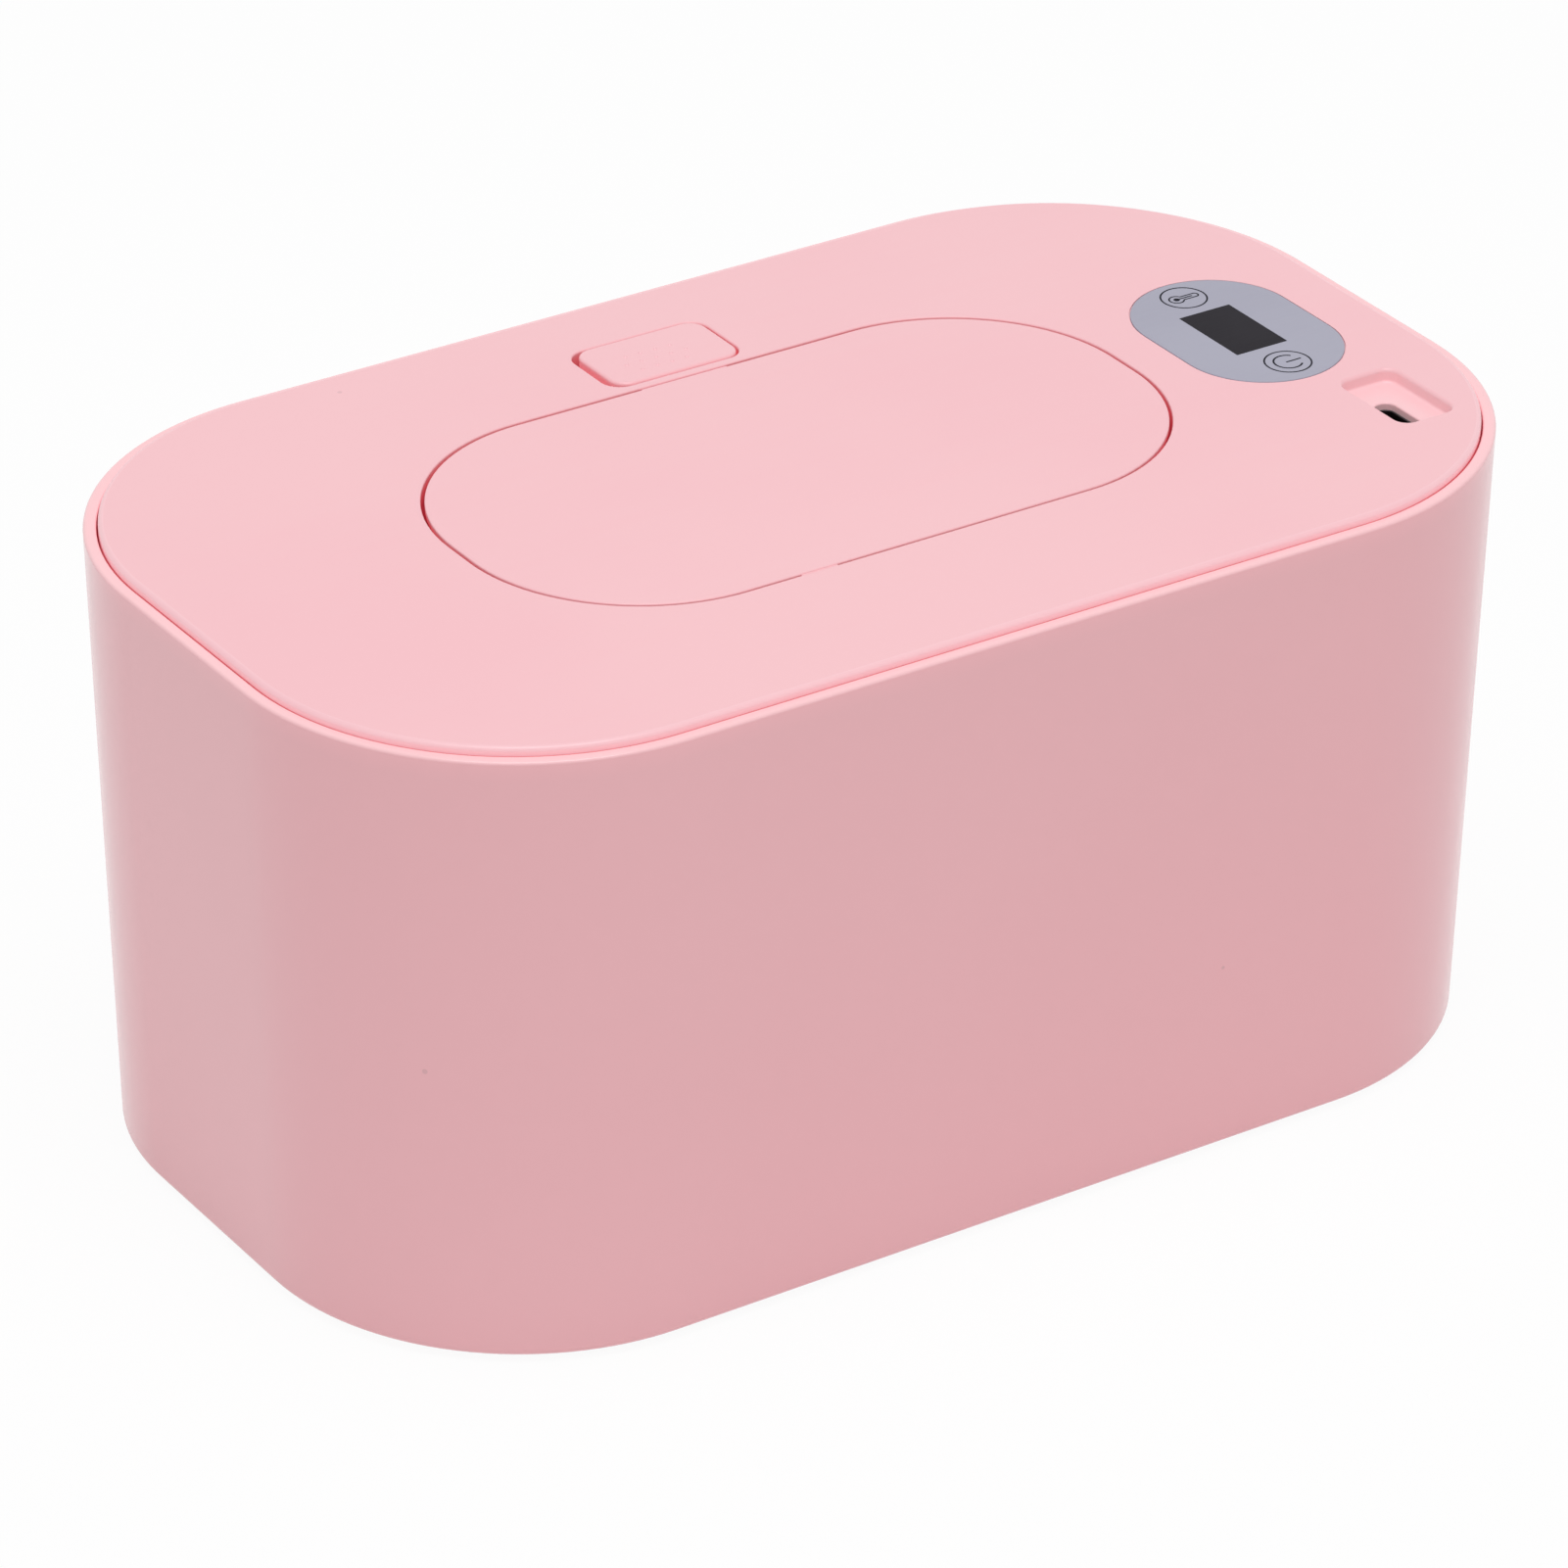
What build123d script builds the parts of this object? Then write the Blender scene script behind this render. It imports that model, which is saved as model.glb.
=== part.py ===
from build123d import *
from math import atan, cos, degrees, pi, radians, sin
import os

# Baby wipe warmer: a drafted case with a hanging tank for the wipes, and a cover that lifts off.
# The cover carries the heater, the control board, the USB inlet and a flush flip lid, which a
# push button releases. Millimetres, +Z up. The origin is under the middle of the case, on the
# surface that the feet stand on. +X points to the end with the control panel, +Y to the button.

# ---------------------------------------------------------------- driving dimensions

# Case
case_length = 200.0
case_width = 119.8
case_height = 94.7
case_corner = 43.4
case_draft = 2.4
case_wall = 2.3
case_floor = 2.4
rim_bevel = 0.6
base_bevel = 0.9
rib_thickness = 1.6
rib_depth = 2.2
rib_spacing = 25.0
end_rib_spacing = 24.0

# Feet
foot_height = 1.0
foot_radius = 5.0
foot_recess = 0.8
foot_inset = 15.5
foot_gap = 0.1

# Tank
tank_wall = 1.8
tank_from_wall = 9.7
tank_draft = 3.0
tank_floor_bevel = 3.0
tank_flange = 2.0
tank_flange_gap = 0.5
pad_thickness = 2.0
sleeve_thickness = 2.7
sleeve_gap = 0.3

# Cover
deck_rise = 1.1
deck_gap = 0.4
deck_thickness = 2.2
deck_bevel = 0.6
cover_depth = 14.5
skirt_step = 0.6
skirt_wall = 1.8
floor_thickness = 2.0
floor_gap = 0.15
cover_seal_thickness = 1.0
cover_seal_width = 4.0
cover_seal_inset = 2.0

# Flip lid and the well that it closes
lid_length = 112.0
lid_width = 60.1
lid_corner = 27.2
lid_thickness = 2.0
lid_gap = 0.5
lid_bevel = 0.3
lid_chamfer = 1.3
well_bevel = 0.3
well_wall = 1.45

# Mouth that the wipes come out of
mouth_length = 92.0
mouth_width = 40.0
collar_wall = 2.0
collar_height = 6.7
collar_bevel = 0.5
lid_seal_gap = 0.3
lid_seal_width = 2.6
frame_length = 100.0
frame_width = 50.0
frame_corner = 22.0
frame_thickness = 1.8
seal_groove = 0.6
frame_overlap = 2.0

# Hinge
pivot_behind_lid = 5.45
pivot_below_deck = 4.2
pin_radius = 0.8
pin_fit = 0.05
pin_head_radius = 1.4
pin_head = 0.8
hub_radius = 1.7
arm_width = 6.0
arm_thickness = 1.8
arm_place = 16.5
arm_reach = 6.9
arm_drop = 5.7
hinge_side_gap = 0.3
lug_radius = 2.4
lug_thickness = 1.6

# Lid spring
spring_wire = 0.3
spring_radius = 1.5
spring_pitch = 1.4
spring_turns = 2.75
spring_start = 3.6
spring_fixed_leg = 7.0
spring_free_leg = 4.5
spring_toe = 7.4
spring_bend = 0.8
spring_stop_gap = 0.1
spring_stop_length = 3.0
spring_stop_width = 1.5
spring_stop_inset = 1.0

# Release button
button_length = 22.3
button_width = 12.8
button_corner = 2.6
button_gap = 0.4
button_rise = 0.6
button_cap = 1.2
button_bevel = 0.35
button_bridge = 1.45
button_travel = 1.5
pocket_wall = 1.2
pocket_depth = 6.6
pocket_floor = 1.2
pocket_bevel = 0.25
cheek_thickness = 1.2
cheek_length = 9.0
cheek_height = 4.4
hook_width = 3.0
hook_drop = 4.0
hook_barb = 1.0
hook_barb_height = 1.2
hook_gap = 0.25
wedge_width = 6.0
wedge_depth = 4.2

# Latch
nose_inset = 3.9
nose_thickness = 2.0
nose_drop = 0.2
nose_clearance = 0.28
window_gap = 0.2
slide_length = 11.3
slide_float = 0.1
slot_gap = 0.3
slot_lead = 0.4
nose_bevel = 0.8
rail_width = 0.8
rail_height = 1.2
wedge_gap = 0.1
catch_width = 12.0
catch_thickness = 1.5
catch_lip = 1.0
catch_lip_height = 1.2
catch_inset = 1.15
catch_play = 0.2
catch_lead = 0.3
leaf_thickness = 0.4
leaf_inset = 0.75
leaf_height = 3.0
leaf_gap = 0.1
leaf_lift = 0.3

# Control panel
panel_from_end = 23.6
panel_length = 35.9
panel_width = 24.8
panel_thickness = 0.3
panel_gap = 0.1
display_length = 14.6
display_width = 8.8
filter_flange = 1.6
filter_flange_thickness = 1.0
module_length = 18.0
module_width = 12.0
module_chamfer = 0.5
touch_spacing = 25.6
touch_radius = 3.0

# USB inlet
recess_from_end = 16.8
recess_side = 30.05
recess_length = 16.7
recess_width = 9.6
recess_corner = 2.0
recess_depth = 2.1
recess_bevel = 0.45
recess_floor = 1.6
recess_wall = 1.6
socket_from_end = 18.0
socket_side = 31.8
socket_length = 8.94
socket_width = 3.16
socket_height = 6.5
socket_shell = 0.3
socket_base = 1.2
socket_sunk = 1.0
socket_flat = 0.05
slot_clearance = 0.14
slot_chamfer = 0.35
tongue_length = 6.7
tongue_thickness = 0.7
tongue_sunk = 0.8

# Control board
board_length = 68.0
board_width = 26.5
board_thickness = 1.6
board_corner = 6.0
board_from_end = 11.0
board_shift = -4.0
post_radius = 2.5
post_inset = 4.0
post_shift = 0.5
post_from_socket = 12.0
plug_offset = 15.5
plug_body_length = 7.0
plug_body_width = 5.0
plug_body_height = 3.2
plug_from_edge = 0.5
chip_size = 5.0
chip_height = 1.2
buzzer_height = 3.0
resistor_length = 2.0
resistor_width = 1.2
resistor_height = 0.7
resistor_pitch = 2.4

# Heater under the cover
heater_inset = 4.0
plate_thickness = 1.0
film_thickness = 0.3
film_end_inset = 11.0
film_side_inset = 7.5
blanket_thickness = 2.0
mouth_margin = 1.0
film_margin = 3.0
plate_boss_radius = 2.5
plate_screw_inset = 4.0
plate_screw_pitch = 60.0
lead_width = 2.6
lead_thickness = 1.0
lead_bend = 2.5
lead_from_board = 3.7
lead_hole_length = 4.6
lead_hole_width = 2.4
fuse_length = 9.0
fuse_width = 3.0
fuse_height = 1.6
fuse_chamfer = 0.5
fuse_from_leads = 8.0
fuse_side = 6.0
thermistor_size = 4.0
thermistor_height = 1.4
thermistor_corner = 1.0
part_gap = 0.5

# Screws
boss_radius = 3.0
boss_inset = 7.4
boss_from_lid_end = 6.0
screw_radius = 1.2
screw_head_radius = 2.0
screw_head_height = 1.1
pilot_gap = 0.02
hole_gap = 0.2
head_gap = 0.2
cover_screw_length = 9.0
plate_screw_length = 4.4
board_screw_length = 6.0

# ---------------------------------------------------------------- levels, from the ground up

case_bottom = foot_height
case_floor_top = case_bottom + case_floor
rim_top = case_bottom + case_height
deck_top = rim_top + deck_rise
deck_bottom = deck_top - deck_thickness
cover_bottom = deck_top - cover_depth
floor_top = cover_bottom + floor_thickness
flange_top = cover_bottom - cover_seal_thickness
flange_bottom = flange_top - tank_flange
tank_bottom = case_floor_top + pad_thickness
tank_floor_top = tank_bottom + tank_wall
lid_bottom = deck_top - lid_thickness
frame_bottom = lid_bottom - frame_thickness
collar_top = floor_top + collar_height
blanket_bottom = cover_bottom - blanket_thickness
film_bottom = blanket_bottom - film_thickness
plate_bottom = film_bottom - plate_thickness
pocket_floor_top = deck_top - pocket_depth
pocket_floor_bottom = pocket_floor_top - pocket_floor
button_top = deck_top + button_rise
cap_bottom = button_top - button_cap
nose_top = deck_bottom - nose_drop
nose_bottom = nose_top - nose_thickness
slide_bottom = pocket_floor_top + slide_float
socket_top = deck_top - recess_depth - socket_sunk
board_top = socket_top - socket_height
board_bottom = board_top - board_thickness
filter_bottom = deck_bottom - filter_flange_thickness

# ---------------------------------------------------------------- plan positions

# Every outline of the case and cover is an offset of the rim, so all share these corner centres.
corner_x = case_length / 2 - case_corner
corner_y = case_width / 2 - case_corner
case_end = case_length / 2
tank_inset = case_wall + tank_from_wall
deck_inset = case_wall + deck_gap
skirt_inset = deck_inset + skirt_step
skirt_inner = skirt_inset + skirt_wall
heater_outline = tank_inset + heater_inset
film_length = case_length - 2 * (heater_outline + film_end_inset)
film_width = case_width - 2 * (heater_outline + film_side_inset)
film_hole_length = mouth_length + 2 * film_margin
film_hole_width = mouth_width + 2 * film_margin
well_length = lid_length + 2 * lid_gap
well_width = lid_width + 2 * lid_gap
well_corner = lid_corner + lid_gap
well_edge = well_width / 2
pocket_length = button_length + 2 * button_gap
pocket_width = button_width + 2 * button_gap
pocket_front = well_edge + button_bridge
button_y = pocket_front + pocket_width / 2
pocket_back = pocket_front + pocket_width
pivot_y = -lid_width / 2 - pivot_behind_lid
pivot_z = deck_top - pivot_below_deck
panel_x = case_end - panel_from_end
recess_x = case_end - recess_from_end
socket_x = case_end - socket_from_end
board_right = case_end - board_from_end
board_left = board_right - board_width
board_x = (board_left + board_right) / 2
board_high = board_shift + board_length / 2
board_low = board_shift - board_length / 2
lead_x = board_left - lead_from_board
nose_width = button_length - 2 * nose_inset
nose_tip = lid_width / 2 - catch_inset + catch_lip + nose_clearance
slide_back = nose_tip + slide_length
slot_front = pocket_front + slot_lead
wedge_front = slot_front + button_travel + slot_gap
ramp_foot = wedge_front + slot_gap

boss_reach = case_corner - skirt_inner - boss_inset
boss_side = corner_y + boss_reach


def around_corner(angle, reach):
    """A place by the cover's +X corner, from the corner's centre; a minus angle is the -Y corner."""
    side = 1 if angle > 0 else -1
    return corner_x + reach * cos(radians(angle)), side * corner_y + reach * sin(radians(angle))


boss_places = [
    (-corner_x - boss_reach, 0),
    (-lid_length / 2 + boss_from_lid_end, boss_side),
    (-lid_length / 2 + boss_from_lid_end, -boss_side),
    (lid_length / 4, boss_side),
    around_corner(45, boss_reach),
    around_corner(-80, boss_reach),
]
plate_screw_x = case_end - heater_outline - plate_screw_inset
plate_screw_y = case_width / 2 - heater_outline - plate_screw_inset
plate_screw_places = [(plate_screw_x, 0), (-plate_screw_x, 0)] + [
    (side_x * plate_screw_pitch / 2, side_y * plate_screw_y) for side_x in (1, -1) for side_y in (1, -1)
]
post_places = [
    (board_left + post_inset, board_high - post_inset),
    (board_right - post_inset, board_high - post_inset),
    (board_left + post_inset, board_low + post_inset),
    (board_right - post_inset + post_shift, -socket_side + post_from_socket),
]
foot_x = corner_x + (case_corner - case_draft - foot_inset) * cos(pi / 4)
foot_y = corner_y + (case_corner - case_draft - foot_inset) * sin(pi / 4)
touch_places = [(panel_x, touch_spacing / 2), (panel_x, -touch_spacing / 2)]
chip_place = (panel_x - 3.0, -22.0)
buzzer_place = (panel_x + 6.0, 20.5)
resistor_places = [(panel_x - 1.0, 21.0), (panel_x - 4.0, -30.0)]
plug_places = [(board_left + plug_body_width / 2 + plug_from_edge, y) for y in (plug_offset, -plug_offset)]


def outline(inset, mode=Mode.ADD):
    """The rim's outline, offset inwards by the inset."""
    return RectangleRounded(
        case_length - 2 * inset, case_width - 2 * inset, case_corner - inset, mode=mode
    )


case_angle = degrees(atan(case_draft / case_height))
tank_angle = degrees(atan(tank_draft / (flange_top - tank_bottom)))


def case_lean(level):
    """How far the case's outer wall has drawn in at a level, from the rim down."""
    return case_draft * (rim_top - level) / case_height


def small_round(radius, mode=Mode.ADD):
    """A small round outline of a screw, a boss or a screw's hole, with eight sides to keep its faces few."""
    return RegularPolygon(radius, 8, major_radius=False, mode=mode)


def screws(places, seat, length):
    """Screws driven upwards at the places, with their heads' upper faces on the seat."""
    with BuildPart() as group:
        with BuildSketch(Plane.XY.offset(seat - screw_head_height)):
            with Locations(*places):
                small_round(screw_head_radius)
        extrude(amount=screw_head_height)
        with BuildSketch(Plane.XY.offset(seat)):
            with Locations(*places):
                small_round(screw_radius)
        extrude(amount=length)
    return group.part


# ---------------------------------------------------------------- base

with BuildPart() as outer_case:
    with BuildSketch(Plane.XY.offset(rim_top)):
        outline(0)
    extrude(amount=-case_height, taper=case_angle)
    chamfer(outer_case.edges().group_by(Axis.Z)[0], base_bevel)
    with BuildSketch(Plane.XY.offset(rim_top)):
        outline(case_wall)
    extrude(amount=case_floor_top - rim_top, taper=case_angle, mode=Mode.SUBTRACT)
    chamfer(outer_case.edges().group_by(Axis.Z)[-1], rim_bevel)
    # Ribs that stand on the floor against the wall and carry the tank's flange.
    for side in (1, -1):
        foot = case_width / 2 - case_lean(case_floor_top) - case_wall
        head = case_width / 2 - case_lean(flange_bottom) - case_wall
        for number in range(-2, 3):
            with BuildSketch(Plane.YZ.offset(number * rib_spacing)):
                with BuildLine():
                    Polyline(
                        (side * (foot + case_wall / 2), case_floor_top - case_floor / 2),
                        (side * (head + case_wall / 2), flange_bottom),
                        (side * (head - rib_depth), flange_bottom),
                        (side * (foot - rib_depth), case_floor_top - case_floor / 2),
                        close=True,
                    )
                make_face()
            extrude(amount=rib_thickness / 2, both=True)
        end_foot = foot + (case_length - case_width) / 2
        end_head = head + (case_length - case_width) / 2
        for place in (-end_rib_spacing / 2, end_rib_spacing / 2):
            with BuildSketch(Plane.XZ.offset(place)):
                with BuildLine():
                    Polyline(
                        (side * (end_foot + case_wall / 2), case_floor_top - case_floor / 2),
                        (side * (end_head + case_wall / 2), flange_bottom),
                        (side * (end_head - rib_depth), flange_bottom),
                        (side * (end_foot - rib_depth), case_floor_top - case_floor / 2),
                        close=True,
                    )
                make_face()
            extrude(amount=rib_thickness / 2, both=True)
    with BuildSketch(Plane.XY.offset(case_bottom)):
        with GridLocations(2 * foot_x, 2 * foot_y, 2, 2):
            Circle(foot_radius + foot_gap)
    extrude(amount=foot_recess, mode=Mode.SUBTRACT)

with BuildPart() as feet:
    with BuildSketch(Plane.XY):
        with GridLocations(2 * foot_x, 2 * foot_y, 2, 2):
            Circle(foot_radius)
    extrude(amount=foot_height + foot_recess)

with BuildPart() as tank_hollow:
    with BuildSketch(Plane.XY.offset(flange_top)):
        outline(tank_inset)
    extrude(amount=tank_floor_top - flange_top, taper=tank_angle)
    chamfer(tank_hollow.edges().group_by(Axis.Z)[0], tank_floor_bevel)

with BuildPart() as inner_tank:
    with BuildSketch(Plane.XY.offset(flange_top)):
        outline(tank_inset - tank_wall)
    extrude(amount=tank_bottom - flange_top, taper=tank_angle)
    chamfer(inner_tank.edges().group_by(Axis.Z)[0], tank_floor_bevel)
    with BuildSketch(Plane.XY.offset(flange_bottom)):
        outline(case_wall + case_lean(flange_bottom) + tank_flange_gap)
    extrude(amount=tank_flange)
    add(tank_hollow.part, mode=Mode.SUBTRACT)

with BuildPart() as insulation_sleeve:
    sleeve_inset = tank_inset - tank_wall - sleeve_gap
    with BuildSketch(Plane.XY.offset(case_floor_top + pad_thickness)):
        outline(sleeve_inset - sleeve_thickness)
        outline(sleeve_inset, mode=Mode.SUBTRACT)
    extrude(amount=flange_bottom - case_floor_top - pad_thickness)

with BuildPart() as insulation_pad:
    with BuildSketch(Plane.XY.offset(case_floor_top)):
        outline(sleeve_inset - sleeve_thickness)
    extrude(amount=pad_thickness)

# ---------------------------------------------------------------- cover shell

lug_offsets = [
    arm_place - arm_width / 2 - hinge_side_gap - lug_thickness,
    arm_place + arm_width / 2 + hinge_side_gap,
]
slide_rail = nose_width / 2 + slot_gap
spring_slope = spring_pitch / (2 * pi * spring_radius)
stop_reach = spring_fixed_leg - spring_stop_inset

with BuildPart() as top_cover:
    with BuildSketch(Plane.XY.offset(deck_bottom)):
        outline(deck_inset)
    extrude(amount=deck_thickness)
    chamfer(top_cover.edges().group_by(Axis.Z)[-1], deck_bevel)
    # Skirt, and the wall of the well that the flip lid closes.
    with BuildSketch(Plane.XY.offset(cover_bottom)):
        outline(skirt_inset)
        outline(skirt_inner, mode=Mode.SUBTRACT)
    extrude(amount=cover_depth - deck_thickness)
    with BuildSketch(Plane.XY.offset(floor_top)):
        RectangleRounded(well_length + 2 * well_wall, well_width + 2 * well_wall, well_corner + well_wall)
    extrude(amount=deck_bottom - floor_top)
    with BuildSketch(Plane.XY.offset(floor_top)):
        RectangleRounded(well_length, well_width, well_corner)
    extrude(amount=deck_top - floor_top, mode=Mode.SUBTRACT)
    chamfer(top_cover.edges(Select.LAST).group_by(Axis.Z)[-1], well_bevel)
    # Pocket of the release button, with its floor.
    with BuildSketch(Plane.XY.offset(pocket_floor_bottom)):
        with Locations((0, button_y + pocket_wall / 2)):
            Rectangle(pocket_length + 2 * pocket_wall, pocket_width + pocket_wall)
    extrude(amount=deck_bottom - pocket_floor_bottom)
    with BuildSketch(Plane.XY.offset(pocket_floor_top)):
        with Locations((0, button_y)):
            RectangleRounded(pocket_length, pocket_width, button_corner + button_gap)
    extrude(amount=pocket_depth, mode=Mode.SUBTRACT)
    chamfer(top_cover.edges(Select.LAST).group_by(Axis.Z)[-1], pocket_bevel)
    # Holes in the pocket's floor for the button's hooks, and the window for the latch's nose.
    with BuildSketch(Plane.XY.offset(pocket_floor_bottom)):
        with Locations((0, button_y)):
            with GridLocations(button_length - cheek_thickness, 0, 2, 1):
                Rectangle(cheek_thickness + 2 * hook_gap, hook_width + 2 * hook_gap)
    extrude(amount=pocket_floor, mode=Mode.SUBTRACT)
    with BuildSketch(Plane.XY.offset(nose_bottom - window_gap)):
        with Locations((0, (well_edge + pocket_front) / 2)):
            Rectangle(nose_width + 2 * window_gap, 2 * button_bridge)
    extrude(amount=deck_bottom - nose_bottom + window_gap, mode=Mode.SUBTRACT)
    # Rails that guide the latch's slide on the pocket's floor.
    with BuildSketch(Plane.XY.offset(pocket_floor_top)):
        with Locations((0, button_y)):
            with GridLocations(2 * slide_rail + rail_width, 0, 2, 1):
                Rectangle(rail_width, pocket_width)
    extrude(amount=slide_float + rail_height)
    # Lugs for the hinge pin, and slots in the well's rear wall for the lid's arms.
    for side in (1, -1):
        for lug in lug_offsets:
            start = lug if side > 0 else -lug - lug_thickness
            with BuildSketch(Plane.YZ.offset(start)):
                with Locations((pivot_y, pivot_z)):
                    Circle(lug_radius)
                with Locations((pivot_y, (pivot_z + deck_bottom) / 2)):
                    Rectangle(2 * lug_radius, deck_bottom - pivot_z)
                with Locations((pivot_y, pivot_z)):
                    Circle(pin_radius + pin_fit, mode=Mode.SUBTRACT)
            extrude(amount=lug_thickness)
    with BuildSketch(Plane.XY.offset(floor_top)):
        with Locations((0, -well_edge - well_wall / 2)):
            with GridLocations(2 * arm_place, 0, 2, 1):
                Rectangle(arm_width + 2 * hinge_side_gap, 2 * well_wall)
    extrude(amount=deck_bottom - floor_top, mode=Mode.SUBTRACT)
    # Stop under the deck that the lid spring's fixed leg bears on.
    with BuildSketch(Plane.XY.offset(pivot_z - spring_radius + spring_wire + spring_stop_gap)):
        with Locations((spring_start - stop_reach * spring_slope, pivot_y - stop_reach)):
            Rectangle(spring_stop_length, spring_stop_width)
    extrude(amount=deck_bottom - pivot_z + spring_radius - spring_wire - spring_stop_gap)
    # Recess and window of the control panel.
    with BuildSketch(Plane.XY.offset(deck_top - panel_thickness)):
        with Locations((panel_x, 0)):
            SlotOverall(panel_length + 2 * panel_gap, panel_width + 2 * panel_gap, rotation=90)
    extrude(amount=panel_thickness, mode=Mode.SUBTRACT)
    with BuildSketch(Plane.XY.offset(deck_bottom)):
        with Locations((panel_x, 0)):
            Rectangle(display_width + 2 * panel_gap, display_length + 2 * panel_gap)
    extrude(amount=deck_thickness, mode=Mode.SUBTRACT)
    # Recess for the USB plug, with the slot over the socket in its floor.
    recess_level = deck_top - recess_depth
    with BuildSketch(Plane.XY.offset(recess_level - recess_floor)):
        with Locations((recess_x, -recess_side)):
            RectangleRounded(
                recess_width + 2 * recess_wall,
                recess_length + 2 * recess_wall,
                recess_corner + recess_wall,
            )
    extrude(amount=deck_bottom - recess_level + recess_floor)
    with BuildSketch(Plane.XY.offset(recess_level)):
        with Locations((recess_x, -recess_side)):
            RectangleRounded(recess_width, recess_length, recess_corner)
    extrude(amount=recess_depth, mode=Mode.SUBTRACT)
    chamfer(top_cover.edges(Select.LAST).group_by(Axis.Z)[-1], recess_bevel)
    with BuildSketch(Plane.XY.offset(recess_level - recess_floor)):
        with Locations((socket_x, -socket_side)):
            RectangleRounded(
                socket_width + 2 * slot_clearance,
                socket_length + 2 * slot_clearance,
                socket_width / 2 + slot_clearance - socket_flat,
            )
    extrude(amount=recess_floor, mode=Mode.SUBTRACT)
    chamfer(top_cover.edges(Select.LAST).group_by(Axis.Z)[-1], slot_chamfer)
    # Posts for the control board, and bosses for the screws from below.
    with BuildSketch(Plane.XY.offset(board_top)):
        with Locations(*post_places):
            small_round(post_radius)
    extrude(amount=deck_bottom - board_top)
    with BuildSketch(Plane.XY.offset(floor_top)):
        with Locations(*boss_places):
            small_round(boss_radius)
    extrude(amount=deck_bottom - floor_top)
    with BuildSketch(Plane.XY.offset(board_top)):
        with Locations(*post_places):
            small_round(screw_radius + pilot_gap)
    extrude(amount=board_screw_length, mode=Mode.SUBTRACT)
    with BuildSketch(Plane.XY.offset(floor_top)):
        with Locations(*boss_places):
            small_round(screw_radius + pilot_gap)
    extrude(amount=cover_screw_length, mode=Mode.SUBTRACT)

with BuildPart() as under_cover:
    with BuildSketch(Plane.XY.offset(cover_bottom)):
        outline(skirt_inner + floor_gap)
        SlotOverall(mouth_length, mouth_width, mode=Mode.SUBTRACT)
    extrude(amount=floor_thickness)
    with BuildSketch(Plane.XY.offset(floor_top)):
        SlotOverall(mouth_length + 2 * collar_wall, mouth_width + 2 * collar_wall)
        SlotOverall(mouth_length, mouth_width, mode=Mode.SUBTRACT)
    extrude(amount=collar_height)
    chamfer(under_cover.edges().group_by(Axis.Z)[-1], collar_bevel)
    with BuildSketch(Plane.XY.offset(film_bottom)):
        with Locations(*plate_screw_places):
            small_round(plate_boss_radius)
    extrude(amount=cover_bottom - film_bottom)
    with BuildSketch(Plane.XY.offset(film_bottom)):
        with Locations(*plate_screw_places):
            small_round(screw_radius + pilot_gap)
    extrude(amount=plate_screw_length, mode=Mode.SUBTRACT)
    with BuildSketch(Plane.XY.offset(cover_bottom)):
        with Locations(*boss_places):
            small_round(screw_radius + hole_gap)
        with Locations((lead_x, plug_offset), (lead_x, -plug_offset)):
            Rectangle(lead_hole_width, lead_hole_length)
    extrude(amount=floor_thickness, mode=Mode.SUBTRACT)
    with BuildSketch(Plane.XY.offset(cover_bottom)):
        with Locations(*boss_places):
            small_round(screw_head_radius + head_gap)
    extrude(amount=screw_head_height, mode=Mode.SUBTRACT)

with BuildPart() as cover_seal:
    with BuildSketch(Plane.XY.offset(flange_top)):
        outline(tank_inset - cover_seal_inset - cover_seal_width)
        outline(tank_inset - cover_seal_inset, mode=Mode.SUBTRACT)
    extrude(amount=cover_seal_thickness)

# ---------------------------------------------------------------- flip lid

with BuildPart() as flip_lid:
    with BuildSketch(Plane.XY.offset(lid_bottom)):
        RectangleRounded(lid_length, lid_width, lid_corner)
    extrude(amount=lid_thickness)
    chamfer(flip_lid.edges().group_by(Axis.Z)[-1], lid_bevel)
    chamfer(flip_lid.edges().group_by(Axis.Z)[0], lid_chamfer)

catch_face = lid_width / 2 - catch_inset
catch_bottom = nose_bottom - catch_play - catch_lip_height
arm_front = pivot_y + arm_reach
arm_level = pivot_z - arm_drop

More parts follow.
